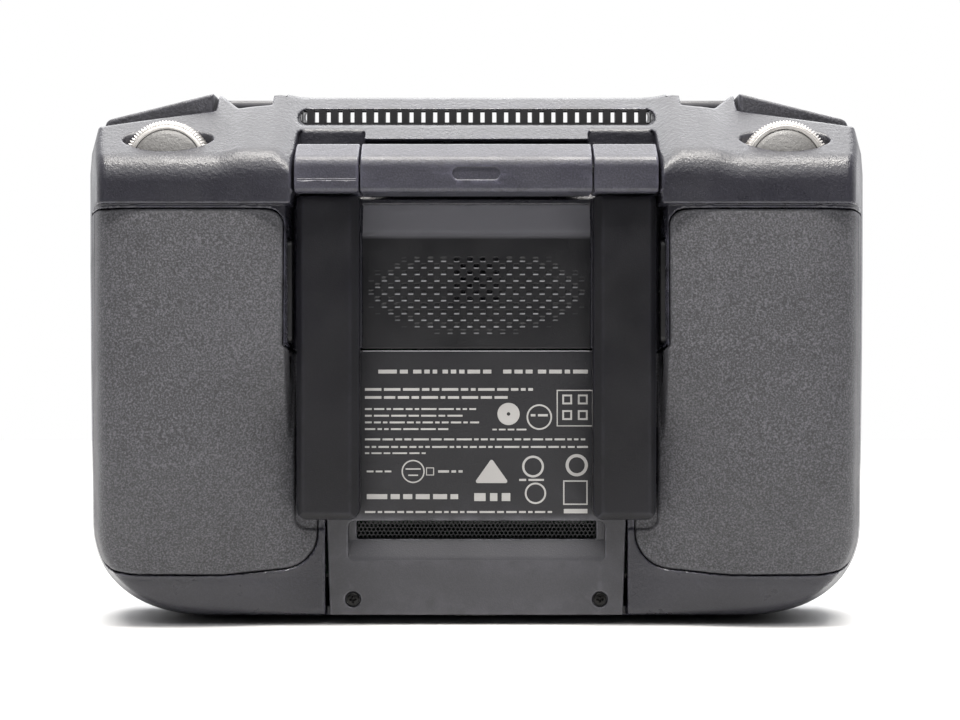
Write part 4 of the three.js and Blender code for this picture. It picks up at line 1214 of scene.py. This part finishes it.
def make_dials():
    """Knurled dials: a domed hub, a light ring and a bright toothed rim, the same on both faces."""
    x, y, z = DIAL
    teeth, cuts = 84, 4
    sides = teeth * cuts
    profile = [(7.5 * k / 8, -2.2 - 1.5 * (1 - (k / 8) ** 2)) for k in range(9)]
    profile += [(7.62, -2.0), (7.74, -2.0), (7.86, -2.28), (8.5, -2.34), (8.66, -2.22), (8.72, -2.1)]
    profile += [(8.82, -2.2), (9.2, -2.16), (9.6, -1.9), (9.8, -1.5)]
    profile += [(r, -h) for r, h in reversed(profile[9:])]
    profile += [(7.5, 2.1), (2.2, 2.1), (1.3, 2.6), (1.3, 4.2), (0, 4.2)]
    verts, faces, marks, rings = [], [], [], []
    for r, h in profile:
        count = sides if r else 1
        rings.append([len(verts) + k % count for k in range(sides)])
        for k in range(count):
            a = 2 * math.pi * k / sides
            tooth = r - 0.45 * (k % cuts in (0, 1)) * max(0, min(1, (r - 8.9) / 0.5))
            verts.append((tooth * math.cos(a) + x, y + h, tooth * math.sin(a) + z))
    for n, (low, high) in enumerate(zip(rings, rings[1:])):
        middle = (profile[n][0] + profile[n + 1][0]) / 2
        marks += [int(middle >= 7.7) + int(middle >= 8.7)] * sides
        for k in range(sides):
            j = (k + 1) % sides
            faces.append(list(dict.fromkeys((low[k], high[k], high[j], low[j]))))
    dial = Solid()
    dial.add(verts, faces, marks)
    paints = ("hub", "ivory", "bright")
    ends = ("gimbal", "camera")
    pair_of(dial.object("dial", 40), "dial", "SIDE_wheel", "dial", paints, "SIDE_dial", sides=ends)


def trigger_cap(x, y, z):
    """A sloping key in a shoulder's top corner."""
    top = (z - 120.8) * 0.9706 + (x - 60.4) * 0.2406
    bottom = (115.4 - z) * 0.9806 - (x - 60.4) * 0.196
    shape = smax(smax(top, x - 85.4, 1.8), smax(bottom, 60.4 - x, 0.2), 0.3)
    return smax(shape, np.abs(y + 2) - 7, 0.9)


def make_triggers():
    cap = moulded("trigger", trigger_cap, (59.8, -9.6, 109.8), (86, 5.6, 121.4), 0.25 * ROUGH, 16000)
    ends = ("record", "shutter")
    pair_of(cap, "trigger_key", "SIDE", "aerial", "trigger", "SIDE_trigger", sides=ends)


# ---- sockets and air outlet in the top ----------------------------------------------------------


def make_ports():
    """The two sockets in the top: a steel sleeve round a dark tongue."""
    for kind, x0 in (("media", 44.3), ("usb", -57.7)):
        port = Solid()
        outer = stadium(x0, x0 + 13.4, -5.5, -0.1, 0.8)
        inner = stadium(x0 + 0.5, x0 + 12.9, -5.0, -0.6, 0.5)
        port.frame(outer, inner, 110.6, 116.1, "z")
        port.prism(outer, 110.1, 110.7, "z", 0.1)
        port.box((x0 + 1.6, -3.6, 110.6), (x0 + 11.8, -2.0, 115.2), 0.15, 1)
        for k in range(4):
            x = x0 + 3.1 + 2.4 * k
            port.box((x - 0.45, -3.75, 111.4), (x + 0.45, -3.5, 114.9), 0.06, 2)
        made = port.object(f"port_sleeve_{kind}")
        place(made, ROOT, "steel", ("steel", "soot", "alloy"), f"{kind}_port")


def make_outlet():
    """A frame with thirty see-through windows between chamfered slats."""
    grille = Solid()
    pitch, gap, first, cut = 2.742, 0.94, -39.75, 0.12
    half = (pitch - gap) / 2
    for k in range(31):
        x = first + pitch * (k - 0.5)
        x0 = x - half if k else -VENT_HALF + 0.35
        x1 = x + half if k < 30 else VENT_HALF - 0.35
        section = [(x0 + cut, -6.6), (x1 - cut, -6.6), (x1, -5.9), (x1, -4.6)]
        section += [(x1 - cut, -4.2), (x0 + cut, -4.2), (x0, -4.6), (x0, -5.9)]
        n = len(section)
        verts = [(u, v, z + VENT_LEAN * (v + 9)) for z in (113.5, 117.0) for u, v in section]
        faces = [list(range(n))[::-1], list(range(n, 2 * n))]
        faces += [[i, (i + 1) % n, n + (i + 1) % n, n + i] for i in range(n)]
        grille.add(verts, faces)
    for z0, z1 in ((113.35, 114.55), (117.05, 117.45)):
        grille.box((-VENT_HALF + 0.4, -5.9, z0), (VENT_HALF - 0.4, -4.4, z1), 0.1)
    place(grille.object("outlet_slats", 25), ROOT, "black", "soot", "air_outlet_grille")


# ---- front keys, sticks and screen --------------------------------------------------------------


def dished(r, top, sag):
    """The profile of a shallow dish, from its rim to its middle."""
    return [(r * k / 8, top - sag * (1 - (k / 8) ** 2)) for k in range(8, -1, -1)]


def round_key(name, x, z, r):
    """A round key with a dished top and a collar that keeps it in."""
    key = Solid()
    top = FRONT + 0.5
    low, high = FRONT - 4.4, FRONT - 3.4
    rim = [(0, low), (r + 0.8, low), (r + 0.8, high), (r, high), (r - 0.1, top - 0.45)]
    for a in (0.4, 0.8, 1.2, 1.57):
        rim.append((r - 0.1 - 0.5 * (1 - math.cos(a)), top - 0.45 + 0.45 * math.sin(a)))
    key.turned(rim + dished(r - 0.7, top, 0.35), (x, 0, z), sides=72)
    place(key.object(f"key_{name}"), name, "aerial", "key", f"{name}_button")


def make_front_keys():
    for name, at in zip(("home", "pause", "power"), KEYS):
        round_key(name, *at)
    for name, x in (("back", 20), ("confirm", -20)):
        key = Solid()
        outline_of_key = stadium(x - 3.8, x + 3.8, 87.2, 90.8, 1.75)
        key.prism(outline_of_key, FRONT - 3.6, FRONT + 0.5, "y", 0.35)
        key.box((x - 4.8, FRONT - 4.2, 86.4), (x + 4.8, FRONT - 3.4, 91.6), 0.15)
        place(key.object(f"key_{name}"), name, "aerial", "key", f"{name}_button")
    slider = Solid()
    slider.prism(stadium(-3.4, 3.4, 102.2, 105.8, 1.6), FRONT - 3.4, FRONT + 1.0, "y", 0.4)
    for x in (-1.6, -0.8, 0, 0.8, 1.6):
        slider.box((x - 0.2, FRONT + 0.8, 102.9), (x + 0.2, FRONT + 1.35, 105.1), 0.15)
    slider.box((-6.4, FRONT - 4, 100.6), (6.4, FRONT - 3, 107.4), 0.2)
    place(slider.object("slider_mode"), "mode_slider", "aerial", "key", "mode_switch")
    light = Solid()
    light.prism(stadium(-9.1, 9.1, 97.1, 98.1, 0.45), FRONT - 3.4, FRONT - 0.1, "y", 0.1)
    place(light.object("light_bar"), ROOT, "light", "light", "status_light")
    x, z, _ = KEYS[3]
    cap = Solid()
    rim = [(0, 7.05), (1.9, 7.05), (2, 8.1), (4.85, 8.1), (4.9, 8.4), (4.7, 10.2), (4.3, 10.65)]
    cap.turned(rim + dished(4.1, 10.65, 0.5), (x, 0, z), sides=72)
    for u, v in ring_arc(x, z, 3.2, 4):
        cap.box((u - 0.3, 10.3, v - 0.3), (u + 0.3, 10.68, v + 0.3), 0.12)
    place(cap.object("key_five_way"), "five_way_top", "aerial", "key", "five_way_cap")


def make_side_keys():
    """The customisable keys in the wall beside each aerial, painted near-black as painted shade for the
    dark channel they sit in.
    """
    key = Solid()
    key.prism(stadium(-22.6, -19.2, 63.3, 86.1, 1.5), 40.6, 45.6, "x", 0.35)
    key.prism(stadium(-22.6, -17.4, 62, 87.4, 0.5), 45, 46.1, "x", 0.1)
    for z in (70, 74.7, 79.4):
        key.box((40.4, -21.6, z - 0.3), (40.8, -20.2, z + 0.3), 0.12)
    left = key.object("wall_key_left")
    right = reflected(left, "wall_key_right")
    place(left, "c1", "aerial", "black", "c1_button")
    place(right, "c2", "aerial", "black", "c2_button")


def make_sticks():
    """Stick domes, and the screw-in sticks with knurled grips and crowned tips."""
    x, y, z = STICK
    dome = Solid()
    outer = [(11.9 * math.sin(a), 11.9 * math.cos(a)) for a in np.linspace(1.02, 0.16, 14)]
    inner = [(10.8 * math.sin(a), 10.8 * math.cos(a)) for a in np.linspace(0.2, 1.02, 14)]
    boss = [(1.9, 12.4), (1.7, 14.0), (1.5, 14.2), (1.5, 9.8)]
    dome.turned(outer + boss + inner[2:], STICK, sides=72, ring=True)
    dome.turned([(0, -1.1), (1.95, -1.1), (1.95, 9.9), (0, 9.9)], STICK, sides=24)
    dome.turned([(0, -9.8), (1.15, -9.8), (1.15, 9.8), (0, 9.8)], STICK, axis="z", sides=24)
    pair_of(dome.object("dome"), "dome_bowl", "stick_SIDE", "black", "key", "stick_dome_SIDE")
    stick = Solid()
    sides, cuts = 96, 4
    shaft = [(0, 4.8), (1.8, 4.7), (1.8, 0.1), (2.35, 0), (2.55, 0.6), (2.5, 3)]
    shaft += [(2.3, 6), (2.45, 10), (3.3, 12.4), (4.15, 14.4), (4.32, 15), (4.32, 17.8)]
    tip = [(4.1, 18.5), (3.6, 19.1), (2.9, 19.2), (2.5, 18.8), (0, 18.6)]
    start = y + 12.4
    stick.turned([(r, start + h) for r, h in shaft + tip], (x, 0, z), sides=sides)
    for n, (px, py, pz) in enumerate(stick.verts):
        if math.hypot(px - x, pz - z) > 4.3:
            k = round(math.atan2(px - x, pz - z) / (2 * math.pi) * sides) % cuts
            scale = 1 - 0.07 * (k in (0, 1))
            stick.verts[n] = (x + (px - x) * scale, py, z + (pz - z) * scale)
    for k in range(5):
        a = 2 * math.pi * k / 5
        centre = (x + 3.2 * math.sin(a), start, z + 3.2 * math.cos(a))
        stick.turned([(0, 18.8), (0.45, 18.9), (0.2, 19.55), (0, 19.6)], centre, sides=10)
    pair_of(stick.object("stick"), "screw_stick", "stick_SIDE", "alloy", "alloy", "control_stick_SIDE")


def make_screen():
    """The cover glass. The display behind it is the CAD's own piece."""
    pane = Solid()
    pane.prism(stadium(-67, 67, 3.6, 77.4, 3.0, 10), FRONT - 1.2, FRONT, "y", 0.25)
    place(pane.object("screen_pane"), ROOT, "glass", "glass", "cover_glass")


KEPT = {"black": "soot", "aerial": "key", "casing": "smooth", "dial": "bright"}


def paint_frame():
    """Paints the CAD nodes that stay, by their slots. Most paints are named as their slots are."""
    slots = {part["node"]: part["material_slot"] for part in frame["record"]["subparts"]}
    for name, obj in frame["nodes"].items():
        slot = slots[name]
        obj.data.materials.clear()
        obj.data.materials.append(PAINT[KEPT.get(slot, slot)])


# ---- stage, light and camera --------------------------------------------------------------------


def make_stage():
    """A pale table top, 1.6 m by 1.1 m."""
    bpy.ops.mesh.primitive_plane_add(size=1, location=(0, 0.2, 0))
    floor = bpy.context.object
    floor.name = "studio_floor"
    floor.scale = (1.6, 1.1, 1)
    bpy.ops.object.transform_apply(location=True, scale=True)
    p = Paint("pale_floor", 0.7)
    shade = p.mix(p.spread(p.noise(400, 3), 0.3, 0.7), grey(204), grey(208))
    floor.data.materials.append(p.finish(shade))


def softbox(name, at, aim, wide, high, radiance, warm=0.0):
    """A rectangular lamp of an even brightness, turned towards a point."""
    data = bpy.data.lights.new(name, "AREA")
    data.shape = "RECTANGLE"
    data.size, data.size_y = wide, high
    data.energy = radiance * math.pi * wide * high
    data.color = (1, 1 - warm * 0.4, 1 - warm)
    light = linked(name, data)
    light.location = at
    light.rotation_euler = (Vector(aim) - Vector(at)).to_track_quat("-Z", "Y").to_euler()


def make_light():
    """A warm softbox overhead, a brighter strip towards the camera, and a surround that is white behind
    the set, grey beside it and dark towards the camera."""
    middle = (0, 0, 0.07)
    softbox("overhead", (0, 0.05, 0.9), middle, 0.9, 0.8, 3.0, 0.02)
    softbox("strip", (0, -0.25, 0.86), middle, 0.8, 0.12, 46, 0.08)
    softbox("high_front", (0, -0.5, 0.55), middle, 0.9, 0.2, 4.4)
    softbox("back", (0, 0.75, 0.9), (0, 0.5, 0), 1.4, 0.6, 4)
    world = bpy.data.worlds.new("studio")
    world.use_nodes = True
    bpy.context.scene.world = world
    tree = world.node_tree
    tree.nodes.clear()
    where = add_node(tree, "ShaderNodeTexCoord").outputs["Generated"]
    along = add_node(tree, "ShaderNodeSeparateXYZ", {0: where}).outputs["Y"]
    shift = add_node(tree, "ShaderNodeMapRange", {"Value": along, "From Min": -1.0, "From Max": 1.0})
    shades = add_node(tree, "ShaderNodeValToRGB", {"Fac": shift.outputs["Result"]})
    stops = ((0.0, 0.02), (0.3, 0.05), (0.42, 0.4), (0.55, 1.1), (1.0, 1.2))
    bar = shades.color_ramp.elements
    while len(bar) < len(stops):
        bar.new(0.5)
    for element, (at, level) in zip(bar, stops):
        element.position = at
        element.color = (level * 0.98, level * 0.98, level, 1)
    lit = add_node(tree, "ShaderNodeBackground", {"Color": shades.outputs["Color"]})
    seen = add_node(tree, "ShaderNodeBackground", {"Color": (1, 1, 1, 1)})
    seen_or_lit = {
        "Fac": add_node(tree, "ShaderNodeLightPath").outputs["Is Camera Ray"],
        1: lit.outputs["Background"],
        2: seen.outputs["Background"],
    }
    blend = add_node(tree, "ShaderNodeMixShader", seen_or_lit)
    add_node(tree, "ShaderNodeOutputWorld", {"Surface": blend.outputs["Shader"]})


def make_camera():
    data = bpy.data.cameras.new("camera")
    data.lens = 57
    data.sensor_width = 36
    data.clip_start = 0.01
    camera = linked("camera", data)
    camera.location = (0.0008, -0.358, 0.0595)
    camera.rotation_euler = (math.pi / 2, 0, 0)
    bpy.context.scene.camera = camera
    bpy.context.scene.view_settings.view_transform = "Standard"


make_camera()
make_light()
make_stage()
paint_frame()
make_casings()
make_sound_plate()
make_panel()
make_hinge()
make_dials()
make_triggers()
make_outlet()
make_ports()
make_front_keys()
make_side_keys()
make_sticks()
make_screen()
